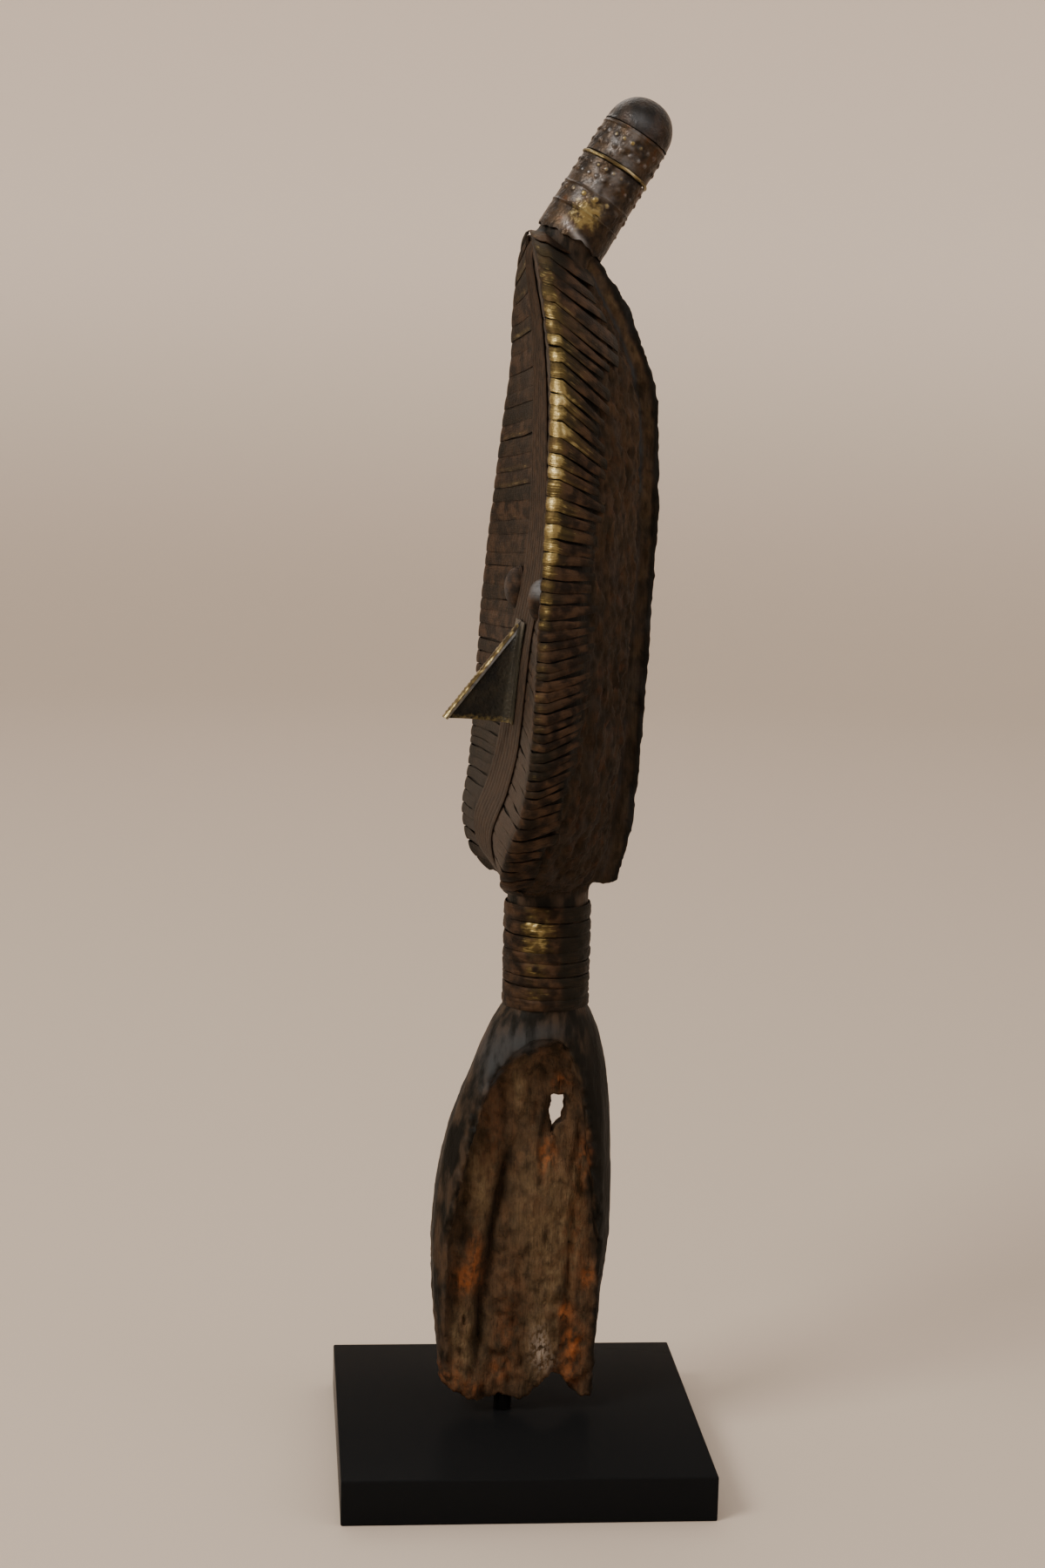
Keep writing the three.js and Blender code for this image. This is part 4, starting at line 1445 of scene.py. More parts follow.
@dataclass
class Chignon:
    """The sheets, wire and cap round the chignon, a cylinder that leans back from the crown."""

    base: tuple[float, float] = (9.4, 512.7)
    lean: float = math.radians(31.3)
    foot_radius: float = 14.7
    head_radius: float = 13.6
    dome_start: float = 54.2
    length: float = 69.0
    dome_power: float = 2.2
    gap: float = 0.3
    thickness: float = 0.7
    steps: int = 200
    level: float = 0.42
    cap_levels: int = 26
    wire_place: float = 37.6
    wire_radius: float = 0.8
    wire_corners: int = 9
    ridge_rise: float = 0.45
    ridge_reach: float = 0.45
    least: float = 0.25
    dent_place: float = 64.5
    dent_depth: float = 0.11
    gold_place: float = 13.0
    gold_reach: float = 7.0
    sheets: tuple[Sheet, ...] = (
        Sheet(
            "chignon_foot_collar",
            "chignon_collar",
            start=1.6,
            end=15.2,
            ridge=13.8,
            tear=1.8,
            gold=0.9,
            haze=0.0,
            glint=0.8,
        ),
        Sheet(
            "chignon_lower_sheet",
            "chignon_band_lower",
            start=14.4,
            end=36.4,
            ridge=22.8,
            bosses=(
                BossRow(33.6, shift=0.1, spacing=3.4, radius=1.0, gold=0.6),
                BossRow(29.0, shift=0.24, spacing=3.4, radius=0.9),
                BossRow(20.4, shift=0.15, spacing=5.0, radius=1.3, gold=1.2),
            ),
            tear=1.2,
            gold=1.1,
        ),
        Sheet(
            "chignon_upper_sheet",
            "chignon_band_upper",
            start=38.8,
            end=53.8,
            ridge=52.6,
            bosses=(BossRow(48.4, shift=0.1, gold=0.7), BossRow(43.6, shift=0.24)),
        ),
    )

    def radius(self, along: Numbers) -> Numbers:
        """The wood's radius.

        Args:
            along: places along the axis.

        Returns:
            The radii there.
        """
        straight = np.interp(along, [0, self.dome_start], [self.foot_radius, self.head_radius])
        share = np.clip((along - self.dome_start) / (self.length - self.dome_start), 0, 1)
        dome = self.head_radius * np.sqrt(1 - share**self.dome_power)
        return np.where(along <= self.dome_start, straight, dome)

    def lean_back(self, bm: bmesh.types.BMesh) -> None:
        """Turns a shape made round Z to the chignon's place."""
        place = Matrix.Translation((0, *self.base)) @ Matrix.Rotation(-self.lean, 4, "X")
        bmesh.ops.transform(bm, matrix=place, verts=bm.verts)

    def punched(self, row: BossRow, places: Numbers) -> tuple[Numbers, Numbers, Numbers]:
        """One row of bosses on a sheet.

        Args:
            row: the row.
            places: the sheet's points, round Z.

        Returns:
            How far the points rise, how much they are rubbed to gold, which in front is also painted
            highlight, and how strong their painted highlight is.
        """
        angle, radius = to_rings(places)
        along = places[:, 2]
        step = math.tau / round(math.tau / (row.spacing / self.head_radius))
        off = (angle + row.shift) / step
        nearest = (off - np.round(off)) * step * radius
        bump = np.clip(1 - (nearest**2 + (along - row.along) ** 2) / row.radius**2, 0, 1) ** 0.7
        # Gold and painted highlight go on the bosses in front.
        in_front = hill(angle, -0.25, 0.6)
        shown = (0.2 + 0.8 * in_front) * (0.6 + 0.4 * np.sin(7.3 * np.round(off) + row.along))
        lit = smooth_step(bump, 0.3, 0.9) * shown * (0.8 + 0.7 * grain(places, (4, 4, 4), 3.3))
        return bump * row.rise, row.gold * smooth_step(bump, 0.2, 0.8) * in_front, lit

    def build_sheet(self, sheet: Sheet, finishes: Finishes) -> bpy.types.Object:
        """Makes one of the sheets.

        Args:
            sheet: the sheet.
            finishes: the materials.

        Returns:
            The piece.
        """
        bm = start_mesh()
        start, end = sheet.start, sheet.end
        count = max(int((end - start) / self.level), 4)
        levels = [start + (end - start) * i / count for i in range(count + 1)]
        section = [(float(self.radius(a)) + self.gap + self.thickness, a) for a in levels]
        section += [(float(self.radius(a)) + self.gap, a) for a in (end, start)]
        verts = add_ring(bm, section, self.steps)
        places = places_of(verts)
        angle, radius = to_rings(places)
        along = places[:, 2].copy()
        outer = radius > self.radius(along) + self.gap + 0.5 * self.thickness
        rise, rub, lit = np.zeros((3, len(along)))
        for row in sheet.bosses:
            bump, gold, shine = self.punched(row, places)
            rise, rub, lit = np.maximum(rise, bump), np.maximum(rub, gold), np.maximum(lit, shine)
        line = hill(along, sheet.ridge, self.ridge_reach)
        rise = np.maximum(rise, self.ridge_rise * line)
        # The ridge is gold in front, rubbed brass with painted highlight.
        rub = np.maximum(rub, 0.3 * line * hill(angle, -0.3, 0.8))
        dents = grain(places, (6, 6, 6), start)
        fine = grain(places, (2.2, 2.2, 2.2), start + 9)
        rise += 0.16 * dents + 0.1 * fine
        height = hill(along + 2 * dents, self.gold_place, self.gold_reach)
        patch = sheet.gold * hill(angle, -0.16, 0.4) * height
        rub = np.maximum(rub, patch * (0.95 + 0.8 * dents + 0.6 * fine))
        share = np.clip((end - along) / (end - start), 0, 1)
        ragged = 0.6 + 0.9 * np.sin(angle * 3 + 1.3) + 0.8 * np.sin(angle * 7 + 0.4)
        ragged = ragged + 0.5 * np.sin(angle * 17)
        along = along + sheet.tear * ragged / 2.8 * share**2
        least = self.radius(along) + self.gap + self.least
        radius = np.where(outer, np.maximum(radius + rise, least), radius)
        put(verts, from_rings(angle, radius, along))
        self.lean_back(bm)
        # Painted grey sheen in front (haze), painted highlight on the bosses (lit) and a painted slanting
        # highlight on the collar (glint), all laid through the dust attribute.
        haze = hill(angle, -0.2, 0.45) * smooth_step(dents + 0.4 * fine, -0.6, 0.8)
        slant = 4.4 + 1.2 * dents - 5.0 * (angle + 0.15)
        glint = sheet.glint * hill(angle, -0.12, 0.36) * hill(along, slant, 1.6)
        painted_sheen = np.maximum(np.maximum(sheet.haze * haze, 0.75 * lit), glint)
        shade(bm, verts, rub=rub, dust=painted_sheen, tone=0.5)
        return make_piece(sheet.name, bm, finishes.sheet, [sheet.node])

    def build_wire(self, finishes: Finishes) -> bpy.types.Object:
        """Makes the bright wire between the two bossed sheets.

        Args:
            finishes: the materials.

        Returns:
            The piece.
        """
        bm = start_mesh()
        centre, thick = self.wire_place, self.wire_radius
        ring = float(self.radius(centre)) + self.gap + thick
        turns = np.linspace(0, math.tau, self.wire_corners + 1)[:-1]
        section = [(ring + thick * math.cos(a), centre + thick * math.sin(a)) for a in turns]
        verts = add_ring(bm, section, self.steps)
        places = places_of(verts)
        angle = to_rings(places)[0]
        places[:, 2] += 0.25 * np.sin(angle * 2 + 0.7) + 0.1 * np.sin(angle * 9)
        put(verts, places)
        self.lean_back(bm)
        rub = 0.95 + 0.25 * np.sin(angle * 5)
        shade(bm, verts, rub=rub, dust=0.2, tone=0.3, along=14 * np.sin(angle), across=places[:, 2])
        return make_piece("chignon_bright_wire", bm, finishes.bright, ["chignon_wire"])

    def build_cap(self, finishes: Finishes) -> bpy.types.Object:
        """Makes the cap over the round end, with the dent where a piece of it is gone at the back.

        Args:
            finishes: the materials.

        Returns:
            The piece.
        """
        bm = start_mesh()
        count = self.cap_levels
        cover = self.gap + self.thickness
        section, inner = [], []
        for i in range(count + 1):
            share = math.sin(i / count * math.pi / 2)
            along = self.dome_start + (self.length - self.dome_start) * share
            radius = float(self.radius(along)) + cover if i < count else 0.0
            along = along + cover * share
            section.append((radius, along))
            inner.append((max(radius - self.thickness, 0.0), along - self.thickness * (i / count)))
        verts = add_ring(bm, section + inner[::-1], self.steps, closed=False)
        places = places_of(verts)
        angle, radius = to_rings(places)
        along = places[:, 2]
        dents = grain(places, (6, 6, 5), 4.4)
        nick = hill(angle, math.pi / 2, 0.16) * hill(along, self.dent_place, 2.2)
        shrink = 1 - (0.012 * smooth_step(dents, -0.2, 0.6) + self.dent_depth * nick)
        lip = 0.35 * hill(along, self.dome_start, 0.7)
        put(verts, from_rings(angle, radius * shrink + lip * smooth_step(shrink, 0.9, 1), along))
        self.lean_back(bm)
        # sheen is a painted highlight on the cap's front, laid through the dust attribute, with a little of
        # the same grey scattered by the dents noise.
        sheen = hill(angle, -0.25, 0.4) * hill(along, 58, 3)
        shade(bm, verts, rub=0.25 * lip, dust=0.1 * smooth_step(dents, 0, 0.6) + 0.45 * sheen, tone=0.5)
        return make_piece("chignon_round_cap", bm, finishes.cap, ["chignon_cap"])

    def build(self, finishes: Finishes) -> list[bpy.types.Object]:
        """Makes all the pieces round the chignon."""
        pieces = [self.build_sheet(sheet, finishes) for sheet in self.sheets]
        return pieces + [self.build_wire(finishes), self.build_cap(finishes)]


# Neck bands


@dataclass
class NeckBands:
    """The brass bands round the neck, dented and mostly tarnished, with one gold patch in front that is
    rubbed brass with painted highlight, and painted shade on the side away from the light.
    """

    edges: tuple[float, ...] = (232.4, 225.5, 219.6, 212.5, 207.5, 201.6, 197.3, 191.5, 186.4)
    centre_y: float = 8.6
    inner: float = 18.4
    outer: float = 19.3
    between: float = 0.25
    steps: int = 96
    levels: int = 9
    edge_rise: float = 0.3
    # How strongly each band's front is rubbed to gold and painted with highlight.
    gold: tuple[float, ...] = (0.35, 0.9, 0.6, 0.2, 0.34, 0.2, 0.26, 0.1)

    def band(self, index: int, finishes: Finishes) -> bpy.types.Object:
        """Makes one band.

        Args:
            index: its number, from 1 at the top.
            finishes: the materials.

        Returns:
            The piece.
        """
        top, bottom = self.edges[index - 1], self.edges[index]
        height = top - bottom - self.between
        bm = start_mesh()
        section = []
        for i in range(self.levels + 1):
            t = i / self.levels
            swell = 1 - abs(2 * t - 1) ** 5
            rise = (self.outer - self.inner - self.edge_rise) * swell
            section.append((self.inner + self.edge_rise + rise, bottom + height * t))
        section += [(self.inner, top - self.between), (self.inner, bottom)]
        verts = add_ring(bm, section, self.steps)
        places = places_of(verts)
        angle, radius = to_rings(places)
        dents = grain(places, (7, 7, 4), index * 3.7)
        fine = grain(places, (2.0, 2.0, 1.6), index * 2.3)
        outside = smooth_step(radius, self.inner + 0.15, self.inner + 0.6)
        radius = radius - outside * (0.4 * smooth_step(dents, -0.3, 0.5) + 0.15 * fine)
        level = places[:, 2] + 0.3 * np.sin(angle + index * 1.7) + 0.25 * dents
        put(verts, from_rings(angle, radius, level) + (0, self.centre_y, 0))
        # lit places the front's gold, which is rubbed brass with painted highlight.
        lit = hill(angle, -0.42, 0.36)
        rub = 1.5 * self.gold[index - 1] * lit * (0.8 + 0.7 * fine + 0.4 * dents)
        front = hill(angle, -0.9, 0.9)
        dust = 0.12 * front * (0.5 + dents + fine)
        # tone paints shade on the side of the neck away from the light.
        tone = 0.1 + 0.4 * dents + 1.4 * smooth_step(np.abs(angle + 0.75), 0.7, 1.2)
        run = places[:, 0] + places[:, 1]
        shade(bm, verts, rub=rub, dust=dust, tone=tone, along=run, across=places[:, 2])
        return make_piece(f"neck_brass_{index}", bm, finishes.strips, [f"neck_band_{index}"])

    def build(self, finishes: Finishes) -> list[bpy.types.Object]:
        """Makes all the bands."""
        return [self.band(index, finishes) for index in range(1, len(self.edges))]


# Wood


@dataclass(frozen=True)
class Stain:
    """A patch of colour or relief on the foot's flank, by its centre and reach in Y and height.

    Its strength is a share of the colour, or the relief in millimetres.
    """

    y: float
    z: float
    reach_y: float
    reach_z: float
    strength: float

    def at(self, y: Numbers, z: Numbers) -> Numbers:
        """Its strength at points."""
        return self.strength * hill(y, self.y, self.reach_y) * hill(z, self.z, self.reach_z)


def stained(stains: Sequence[Stain], y: Numbers, z: Numbers) -> Numbers:
    """The strength of all of some patches at points."""
    return sum(stain.at(y, z) for stain in stains)


@dataclass
class WoodFigure:
    """The carved piece: the CAD solid rounded off, with its grain, its eaten flanks and its broken end."""

    head: HeadForm
    strips: FaceStrips
    voxel: float = 1.36
    merged_within: float = 0.00001
    foot_top: float = 186.0
    neck_top: float = 236.0
    lower_end: float = 8.0
    lower_end_sink: float = 0.5
    slit_margin: float = 2.2
    arch_low: float = 151.0
    arch_high: float = 183.0
    smoothings: tuple[int, int, int] = (2, 8, 14)
    recess: Section = (
        (-29, -2),
        (-33.5, 40),
        (-33.5, 82),
        (-27, 118),
        (-17.5, 150),
        (-9, 162),
        (2, 169),
        (13, 170.5),
        (20, 162),
        (25, 140),
        (28, 118),
        (31.5, 88),
        (34, 60),
        (33, -2),
    )
    slit: Section = ((9.8, 120.5), (14.6, 129), (19.6, 132.5), (19.4, 147.4), (11.4, 147.6))
    front: Curve = Curve((128, -34), (163, -21.4), (178, -15.4), (186, -10.4))
    back: Curve = Curve((126, 39.2), (150, 37.3), (170, 33.7), (178, 31.3), (186, 27.6))
    half: Curve = Curve((100, 24), (150, 21.5), (186, 18.4))
    arch_fill: float = 0.85
    groove_line: Curve = Curve((17, -20), (40, -19.4), (65, -16.8), (94, -12.4), (118, -6.8), (130, -3))
    tans: tuple[Stain, ...] = (
        Stain(8, 99, 12, 24, 0.75),
        Stain(-20, 107, 7, 20, 1.0),
        Stain(-3, 151, 4.5, 13, 0.75),
        Stain(14, 61, 8, 20, 0.75),
        Stain(22, 90, 6, 24, 0.6),
        Stain(3, 60, 20, 60, 0.12),
        Stain(-24, 35, 7, 16, 1.1),
        Stain(9, 33, 7, 14, 0.85),
    )
    # Dark patches on the flank, mostly painted shade along the recess's edges and round the slit.
    dark_and_shade_patches: tuple[Stain, ...] = (
        Stain(7.5, 134, 2.5, 10, 0.8),
        Stain(15, 160, 4, 6, 0.2),
        Stain(-18, 124, 4.5, 14, 0.45),
        Stain(-27, 92, 4, 16, 0.5),
        Stain(-33, 56, 4, 13, 0.55),
        Stain(18, 48, 3, 16, 0.45),
        Stain(-9, 134, 3, 10, 0.4),
        Stain(-3, 46, 4, 14, 0.45),
        Stain(-25, 82, 4, 8, 0.45),
    )
    # Patches of painted sheen on the foot's upper planes.
    sheen_facets: tuple[Stain, ...] = (
        Stain(-15, 160, 6, 13, 1.0),
        Stain(-4, 172, 8, 6, 0.9),
        Stain(6, 178, 9, 4, 0.55),
    )
    chalks: tuple[Stain, ...] = (Stain(8.5, 32, 3.2, 7, 1.0), Stain(12, 24, 4, 4, 0.6))
    spots: tuple[Stain, ...] = (
        Stain(-24, 63, 5.5, 6, 1.05),
        Stain(-21, 74, 3, 9, 0.7),
        Stain(24, 31, 4.5, 7, 1.3),
        Stain(20, 46, 3, 4, 1.2),
        Stain(30, 63, 2.5, 5, 1.0),
        Stain(9.8, 119, 3.5, 7, 1.0),
        Stain(15, 152, 3.5, 3, 0.8),
        Stain(27, 118, 2.5, 9, 0.7),
        Stain(-32, 20, 6, 6, 0.5),
        Stain(-22, 13, 7, 4, 0.4),
        Stain(-9, 20, 5, 5, 0.4),
        Stain(22, 17, 6, 7, 0.5),
        Stain(23, 84, 6, 30, 0.22),
        Stain(-5, 40, 6, 22, 0.2),
        Stain(-14, 128, 5, 20, 0.16),
    )
    swellings: tuple[Stain, ...] = (
        Stain(7, 90, 14, 34, 5.0),
        Stain(-22, 100, 6, 36, 3.0),
        Stain(9, 34, 12, 22, 3.5),
        Stain(-24, 22, 7, 22, 2.5),
        Stain(-3, 150, 3.2, 13, 2.6),
        Stain(4, 165, 11, 6, 4.0),
    )

    def filled(self, places: Numbers) -> Numbers:
        """Lets the recesses run out at their upper end in a slope, as they are eroded there.

        Args:
            places: all the vertices' places.

        Returns:
            The places, with those of the upper end moved out towards the foot's surface.
        """
        x, y, z = places.T
        front, back = self.front(z), self.back(z)
        share = np.clip((2 * y - front - back) / (back - front), -1, 1)
        surface = self.half(z) * np.sqrt(1 - share**2)
        inside = inside_depth(y, z, self.recess)
        slope = (1 - smooth_step(inside, -5, 11)) * smooth_step(z, 150, 162) * (1 - smooth_step(z, 177, 182))
        rise = self.arch_fill * slope * np.maximum(surface - np.abs(x), 0) * (inside > -6)
        return places + np.stack([np.sign(x) * rise, 0 * y, 0 * z], 1)

    def remeshed(self) -> bpy.types.Mesh:
        """Merges a copy of the CAD solid and meshes it evenly.

        Returns:
            The mesh, in the figure's frame.
        """
        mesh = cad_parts["wood_figure"].data.copy()
        bm = bmesh.new()
        bm.from_mesh(mesh)
        bmesh.ops.remove_doubles(bm, verts=bm.verts, dist=self.merged_within)
        bmesh.ops.transform(bm, matrix=FIGURE_TO_PART.inverted(), verts=bm.verts)
        bm.to_mesh(mesh)
        bm.free()
        holder = add_object("wood_holder", mesh)
        remesh = holder.modifiers.new("even", "REMESH")
        remesh.mode = "VOXEL"
        remesh.voxel_size = self.voxel
        even = bpy.data.meshes.new_from_object(holder.evaluated_get(bpy.context.evaluated_depsgraph_get()))
        bpy.data.objects.remove(holder)
        bpy.data.meshes.remove(mesh)
        return even

    def rounded(self) -> bmesh.types.BMesh:
        """Rounds the CAD solid off, most of all round the slit and at the recesses' upper end.

        Returns:
            The mesh to work on, in the figure's frame.
        """
        even = self.remeshed()
        bm = start_mesh(WOOD_MARKS, even)
        bpy.data.meshes.remove(even)
        places = places_of(bm.verts)
        near = inside_depth(places[:, 1], places[:, 2], self.slit) > -self.slit_margin
        by_slit = [vert for vert, is_near in zip(bm.verts, near) if is_near]
        heights = zip(bm.verts, places[:, 2])
        arch = [vert for vert, height in heights if self.arch_low < height < self.arch_high]
        put(bm.verts, self.filled(places))
        axes = {"use_axis_x": True, "use_axis_y": True, "use_axis_z": True}
        for soft, times in zip((bm.verts, by_slit, arch), self.smoothings):
            for _ in range(times):
                bmesh.ops.smooth_vert(bm, verts=soft, factor=0.5, **axes)
        return bm

    def flank_relief(self, y: Numbers, z: Numbers, points: Numbers) -> tuple[Numbers, Numbers]:
        """The eaten flank: swellings of sounder wood between grooves along the grain.

        Args:
            y: the points' Y.
            z: their heights.
            points: their full places, for the noise.

        Returns:
            How far the flank stands out, and the painted shade in its grooves, hollows and dark patches, from
            0 to 1.
        """
        lane = y - self.groove_line(z) + 2.4 * grain(points * (0, 1, 1), (1, 12, 24), 3.3)
        groove = hill(lane, 0, 3.0) * smooth_step(z, 12, 34) * (1 - smooth_step(z, 116, 130))
        second = 0.35 * hill(y - 0.05 * z, 17.5, 1.7) * smooth_step(z, 14, 40) * (1 - smooth_step(z, 84, 110))
        hollow = 0.3 * hill(y, 8, 6) * hill(z, 156, 7) + 0.5 * hill(y, -11, 3.5) * hill(z, 146, 12)
        swell = stained(self.swellings, y, z)
        fibres = 1.5 * grain(points * (0.2, 1, 1), (3, 3.2, 20), 1.1, 3)
        lumps = 1.3 * grain(points * (0.2, 1, 1), (5, 7, 12), 5.9)
        sound = 1 - 0.8 * hill(y, 6, 13) * hill(z, 92, 34)
        pits = -1.4 * sound * smooth_step(grain(points, (5, 5, 9), 8.2), 0.22, 0.5)
        depth = np.maximum(groove, second)
        # Painted shade in the grooves and hollows, and the dark patches.
        dark = 0.75 * depth + 0.3 * hollow + stained(self.dark_and_shade_patches, y, z)
        return swell + fibres + lumps + pits - 4.8 * depth - 2.0 * hollow, np.clip(dark, 0, 1)

    def wear_foot(self, places: Numbers, normals: Numbers) -> tuple[Numbers, dict[str, Numbers]]:
        """Moves and marks the foot.

        Args:
            places: all the vertices' places.
            normals: their normals.

        Returns:
            The offsets to add, and the attributes, zero above the foot.
        """
        x, y, z = places.T
        side_on = np.abs(x)
        on_foot = 1 - smooth_step(z, self.foot_top - 4, self.foot_top)
        edge = 2.4 * grain(places, (7, 9, 12), 4.2) + 1.4 * grain(places, (2.5, 3, 4), 9.4)
        inside = inside_depth(y, z, self.recess)
        chips = smooth_step(grain(places * (0, 1, 1), (1, 7, 9), 12.1, 3), -0.1, 0.35)
        chips = chips * smooth_step(side_on, 9, 13)
        chips = 2.4 * chips * smooth_step(inside, -6, -0.5) * (1 - smooth_step(inside, 0.5, 3)) * (z > 14)
        inside = inside + edge * (1 + 0.8 * smooth_step(z, 150, 168))
        eaten = smooth_step(inside, -2.2, 2.2) * (1 - 0.75 * smooth_step(side_on, 14, 24))
        floor = smooth_step(inside, 0.5, 5.0) * (1 - smooth_step(side_on, 7.5, 9.5))
        through = inside_depth(y, z, self.slit)
        floor = floor * (1 - smooth_step(through, -3.5, -0.5))
        relief, depth = self.flank_relief(y, z, places)
        low_end = 1 - smooth_step(z, 14, 30)
        lower = 1 - smooth_step(z, 60, 120)
        skin = 0.35 * grain(places, (8, 8, 30), 6.1) + 0.18 * grain(places, (2.4, 2.4, 12), 7.7)
        crumble = 1.1 * grain(places, (3.5, 3.5, 5), 2.2, 3)
        crumbly = np.maximum(0.75 * eaten, 0.9 * low_end + 0.35 * lower)
        rail = on_foot * (1 - floor) * (skin + crumble * crumbly)
        hole_edge = 0.9 + 0.9 * (1 - smooth_step(z, 130, 138)) + 0.6 * crumble
        hole_edge = smooth_step(through, -1.6, -0.3) * hole_edge
        offsets = np.zeros_like(places)
        offsets[:, 0] = np.sign(x) * (floor * (relief + crumble) - chips) * on_foot
        offsets += normals * (rail + hole_edge)[:, None]
        broken = grain(places * (0.5, 1, 0.3), (3, 3, 3), 7.1, 3)
        offsets[:, 2] += 1.6 * (1 - smooth_step(z, self.lower_end, 24)) * broken
        kept = np.maximum(offsets[:, 2], -self.lower_end_sink)
        offsets[:, 2] = np.where(z < self.lower_end, kept, offsets[:, 2])
        tan = stained(self.tans, y, z) * eaten
        spot = stained(self.spots, y, z) * np.maximum(eaten, low_end)
        facet = stained(self.sheen_facets, y, z) * (1 - eaten) * (x > 0)
        chalk = stained(self.chalks, y, z) * eaten * (x > 0)
        right_rail = smooth_step(y, 22, 28) * (1 - eaten)
        rusty = 0.5 * lower * smooth_step(grain(places, (6, 6, 14), 3.7), -0.2, 0.4) * (1 - right_rail)
        # sunk adds to the grooves' painted shade more painted shade just inside the recess's edge.
        sunk = depth + 0.35 * (1 - smooth_step(inside, 0, 3)) * floor
        marks = {
            "facet": on_foot * np.clip(facet, 0, 1),
            "chalk": on_foot * np.clip(chalk, 0, 1),
            "eaten": on_foot * np.clip(np.maximum(eaten, 0.6 * low_end + rusty), 0, 1),
            "tan": on_foot * np.clip(tan, 0, 1),
            "spot": on_foot * np.clip(spot, 0, 1),
            # deep is painted shade in the grooves, hollows and along the recess's edge, and paints the back
            # rail black.
            "deep": on_foot * np.clip(eaten * np.clip(sunk, 0, 0.85) + 0.95 * right_rail, 0, 0.95),
        }
        return offsets, marks

    def wear_head(self, places: Numbers, normals: Numbers) -> tuple[Numbers, dict[str, Numbers]]:
        """Moves and marks the head's bare back, and keeps the wood under the sheathing clear of it.

        Args:
            places: all the vertices' places.
            normals: their normals.

        Returns:
            The offsets to add, and the attributes, zero away from the head.
        """
        x, y, z = places.T
        on_head = smooth_step(z, self.neck_top, self.neck_top + 4) * (1 - smooth_step(z, 503, 509))
        bare = smooth_step(y - self.strips.end_line(z), -1.0, 2.5) * on_head
        rib = 1 - smooth_step(np.abs(x), 7.0, 8.6)
        broad = 1.3 * grain(places, (12, 9, 30), 3.9)
        fibres = 1.2 * grain(places, (3.4, 3.0, 10), 5.2, 3)
        crumbs = 0.9 * grain(places, (3.0, 3.0, 4.0), 7.7, 3)
        pits = -1.2 * smooth_step(grain(places, (4, 4, 8), 1.7), 0.2, 0.45)
        rough = (1 - 0.5 * rib) * (broad + fibres + crumbs + pits)
        move = np.where(bare > 0, bare * rough, 0) - 0.25 * (1 - bare)
        above_foot = smooth_step(z, self.foot_top - 4, self.foot_top)
        blotch = smooth_step(grain(places, (9, 9, 16), 6.6), -0.1, 0.5)
        specks = smooth_step(grain(places, (5, 5, 7), 9.9), 0.15, 0.5)
        sheen = smooth_step(grain(places, (8, 8, 14), 2.1), -0.2, 0.5)
        proud = y - self.head.back(z)
        high = 0.35 + 0.65 * smooth_step(z, 370, 420)
        rib_root = smooth_step(proud, -0.5, 1.0) * (1 - smooth_step(proud, 4.5, 6.5)) * high
        rib_line = hill(proud, -0.3, 1.1) * rib * high
        rib_top = smooth_step(proud, 4.0, 6.2)
        # shaded is the least painted shade on the bare head: more low down, less at the rib's root.
        shaded = 0.36 + 0.26 * (1 - smooth_step(z, 330, 410)) - 0.3 * rib_root
        sunk = 0.6 * smooth_step(-fibres - 0.7 * crumbs, 0.1, 0.7) + 0.95 * rib_top
        marks = {
            "eaten": bare * (1 - 0.2 * rib) * 0.85,
            "tan": bare * (0.14 + 0.8 * rib_root + 0.1 * high) * (0.3 + 0.7 * blotch) * (1 - rib_top),
            "spot": bare * (1 - 0.8 * rib) * 0.08 * specks,
            # deep is painted shade on the bare head, darker in the grain's furrows and black on the rib's
            # back; under the sheathing it is black, which shows as painted shade in the gaps between the
            # strips.
            "deep": bare * np.clip(sunk, shaded, 0.95) + 0.9 * (1 - bare) * on_head,
            # facet is painted sheen on the bare head and a painted highlight along the rib's edge (rib_line).
            "facet": bare * np.maximum(0.2 * sheen, 0.9 * rib_line),
            "chalk": 0 * bare,
        }
        return normals * (above_foot * move)[:, None], marks

    def build(self, finishes: Finishes) -> bpy.types.Object:
        """Makes the aged figure.

        Args:
            finishes: the materials.

        Returns:
            The piece.
        """
        bm = self.rounded()
        bm.normal_update()
        verts = list(bm.verts)
        places = places_of(verts)
        normals = np.array([v.normal for v in verts], float)
        foot_move, foot_marks = self.wear_foot(places, normals)
        head_move, head_marks = self.wear_head(places, normals)
        put(verts, places + foot_move + head_move)
        shade(bm, verts, **{name: foot_marks[name] + head_marks[name] for name in WOOD_MARKS})
        return make_piece("carved_wood", bm, finishes.wood, ["wood_figure"], sharp=70)


# Plinth


@dataclass
class Plinth:
    """The square block, with narrow rounded edges."""

    side: float = 160.0
    height: float = PLINTH_HEIGHT
    bevel: float = 0.8
    bevel_steps: int = 4

    def build(self, finishes: Finishes) -> bpy.types.Object:
        """Makes the block, square to the part's frame.

        Args:
            finishes: the materials.

        Returns:
            The piece.
        """
        bm = bmesh.new()
        bmesh.ops.create_cube(bm, size=1.0)
        size = Matrix.Diagonal((self.side, self.side, self.height, 1))
        bmesh.ops.transform(bm, matrix=Matrix.Translation((0, 0, -self.height / 2)) @ size, verts=bm.verts)
        bmesh.ops.bevel(
            bm,
            geom=bm.edges[:],
            offset=self.bevel,
            affect="EDGES",
            segments=self.bevel_steps,
            profile=0.5,
            material=-1,
        )
        bmesh.ops.transform(bm, matrix=Matrix.Rotation(-FIGURE_TURN, 4, "Z"), verts=bm.verts)
        return make_piece("lacquered_plinth", bm, finishes.lacquer, ["plinth"])


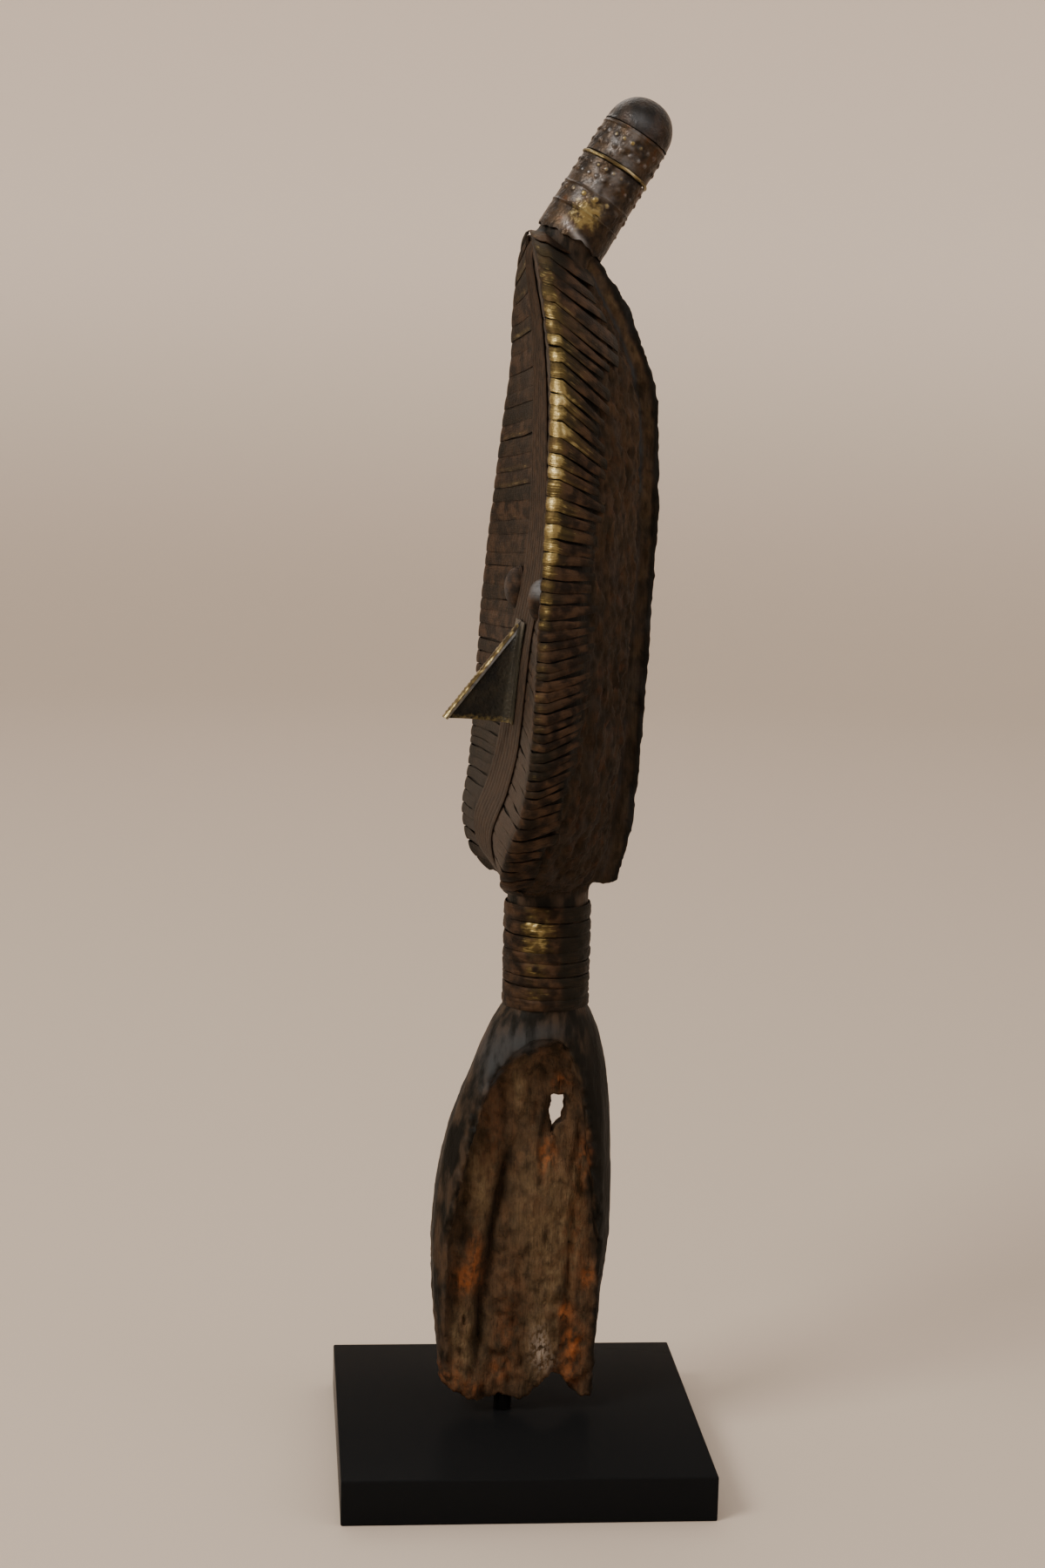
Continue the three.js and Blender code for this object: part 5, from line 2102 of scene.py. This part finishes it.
@dataclass
class MountPin:
    """The pin under the foot, which keeps its own shape."""

    node: str = "mount_pin"

    def build(self, finishes: Finishes) -> bpy.types.Object:
        """Gives the pin its finish.

        Args:
            finishes: the materials.

        Returns:
            The pin.
        """
        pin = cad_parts[self.node]
        for place in pin.material_slots:
            place.material = finishes.steel
        LOG.info("%s: %d material slot", self.node, len(pin.material_slots))
        return pin

# Studio


@dataclass
class Lamp:
    """A soft square lamp that looks at a point."""

    name: str
    place: Size
    size: float
    power: float
    colour: str
    target: Size = (0.0, 0.0, 0.32)

    def build(self) -> bpy.types.Object:
        """Makes the lamp, which the camera doesn't see.

        Returns:
            The lamp.
        """
        data = bpy.data.lights.new(self.name, "AREA")
        data.shape = "SQUARE"
        data.size = self.size
        data.energy = self.power
        data.color = linear(self.colour)[:3]
        lamp = add_object(self.name, data)
        lamp.location = self.place
        lamp.rotation_euler = (Vector(self.target) - Vector(self.place)).to_track_quat("-Z", "Y").to_euler()
        lamp.visible_camera = False
        return lamp


@dataclass
class Studio:
    """A pale sweep all round, soft lamps, and the camera at the photograph's place."""

    floor_radius: float = 2.6
    sweep_radius: float = 1.2
    sweep_bends: int = 16
    sweep_steps: int = 96
    wall: float = 1.4
    world: str = "#f6eadf"
    world_strength: float = 1.06
    lamps: tuple[Lamp, ...] = (
        Lamp("key_lamp", (1.05, -1.5, 1.8), 0.8, 42.0, "#fff6ec"),
        Lamp("fill_lamp", (1.3, 1.9, 1.4), 1.2, 6.0, "#eef1ff"),
        Lamp("back_lamp", (-1.9, -0.4, 2.1), 1.2, 9.0, "#fff8f2"),
    )
    camera_place: Size = (1.1861, -0.1121, 0.4970)
    camera_right: Size = (0.0869, 0.9959, 0.0247)
    camera_up: Size = (-0.1619, -0.0103, 0.9868)
    focal_pixels: float = 3200.0
    picture_height: float = 1800.0
    sensor: float = 36.0

    def sweep(self, paper: bpy.types.Material) -> bpy.types.Object:
        """Makes the floor, which curves up to a low wall all round.

        Args:
            paper: its finish.

        Returns:
            The floor.
        """
        bm = bmesh.new()
        section = [(0.0, 0.0), (0.6, 0.0), (1.4, 0.0), (self.floor_radius, 0.0)]
        for i in range(1, self.sweep_bends + 1):
            angle = i / self.sweep_bends * math.pi / 2
            out, up = math.sin(angle), 1 - math.cos(angle)
            section.append((self.floor_radius + self.sweep_radius * out, self.sweep_radius * up))
        section.append((self.floor_radius + self.sweep_radius, self.sweep_radius + self.wall))
        add_ring(bm, section, self.sweep_steps, closed=False)
        bm.normal_update()
        if bm.faces[:][0].normal.z < 0:
            bmesh.ops.reverse_faces(bm, faces=bm.faces[:])
        floor = add_smooth("paper_floor", bm, paper)
        return floor

    def camera(self) -> bpy.types.Object:
        """Makes the camera, from the place and the axes that were fitted to the plinth.

        Returns:
            The camera.
        """
        data = bpy.data.cameras.new("camera")
        data.sensor_width = self.sensor
        data.lens = self.focal_pixels * self.sensor / self.picture_height
        right = Vector(self.camera_right).normalized()
        up = Vector(self.camera_up)
        up = (up - right * up.dot(right)).normalized()
        turned = Matrix((right, up, right.cross(up))).transposed().to_4x4()
        camera = add_object("camera", data)
        camera.matrix_world = Matrix.Translation(self.camera_place) @ turned
        bpy.context.scene.camera = camera
        return camera

    def build(self, finishes: Finishes) -> None:
        """Sets up everything round the object.

        Args:
            finishes: the materials.
        """
        world = bpy.data.worlds.new("studio")
        world.use_nodes = True
        background = world.node_tree.nodes["Background"]
        feed(background, "Color", self.world)
        feed(background, "Strength", self.world_strength)
        bpy.context.scene.world = world
        self.sweep(finishes.paper)
        for lamp in self.lamps:
            lamp.build()
        self.camera()


def main() -> None:
    """Builds the sub-assemblies in order, from the plinth up, and the studio round them."""
    logging.basicConfig(level=logging.INFO, format="%(message)s")
    finishes = Finishes()
    head = HeadForm()
    left = FaceStrips(Side.LEFT, head)
    right = FaceStrips(Side.RIGHT, head)
    eyes = [Eye(side, head) for side in Side]
    face = [left, right, CentreBand(head), Nose(head), *eyes]
    for part in [Plinth(), MountPin(), WoodFigure(head, left), *face, Chignon(), NeckBands(), Studio()]:
        part.build(finishes)


if __name__ == "__main__":
    main()
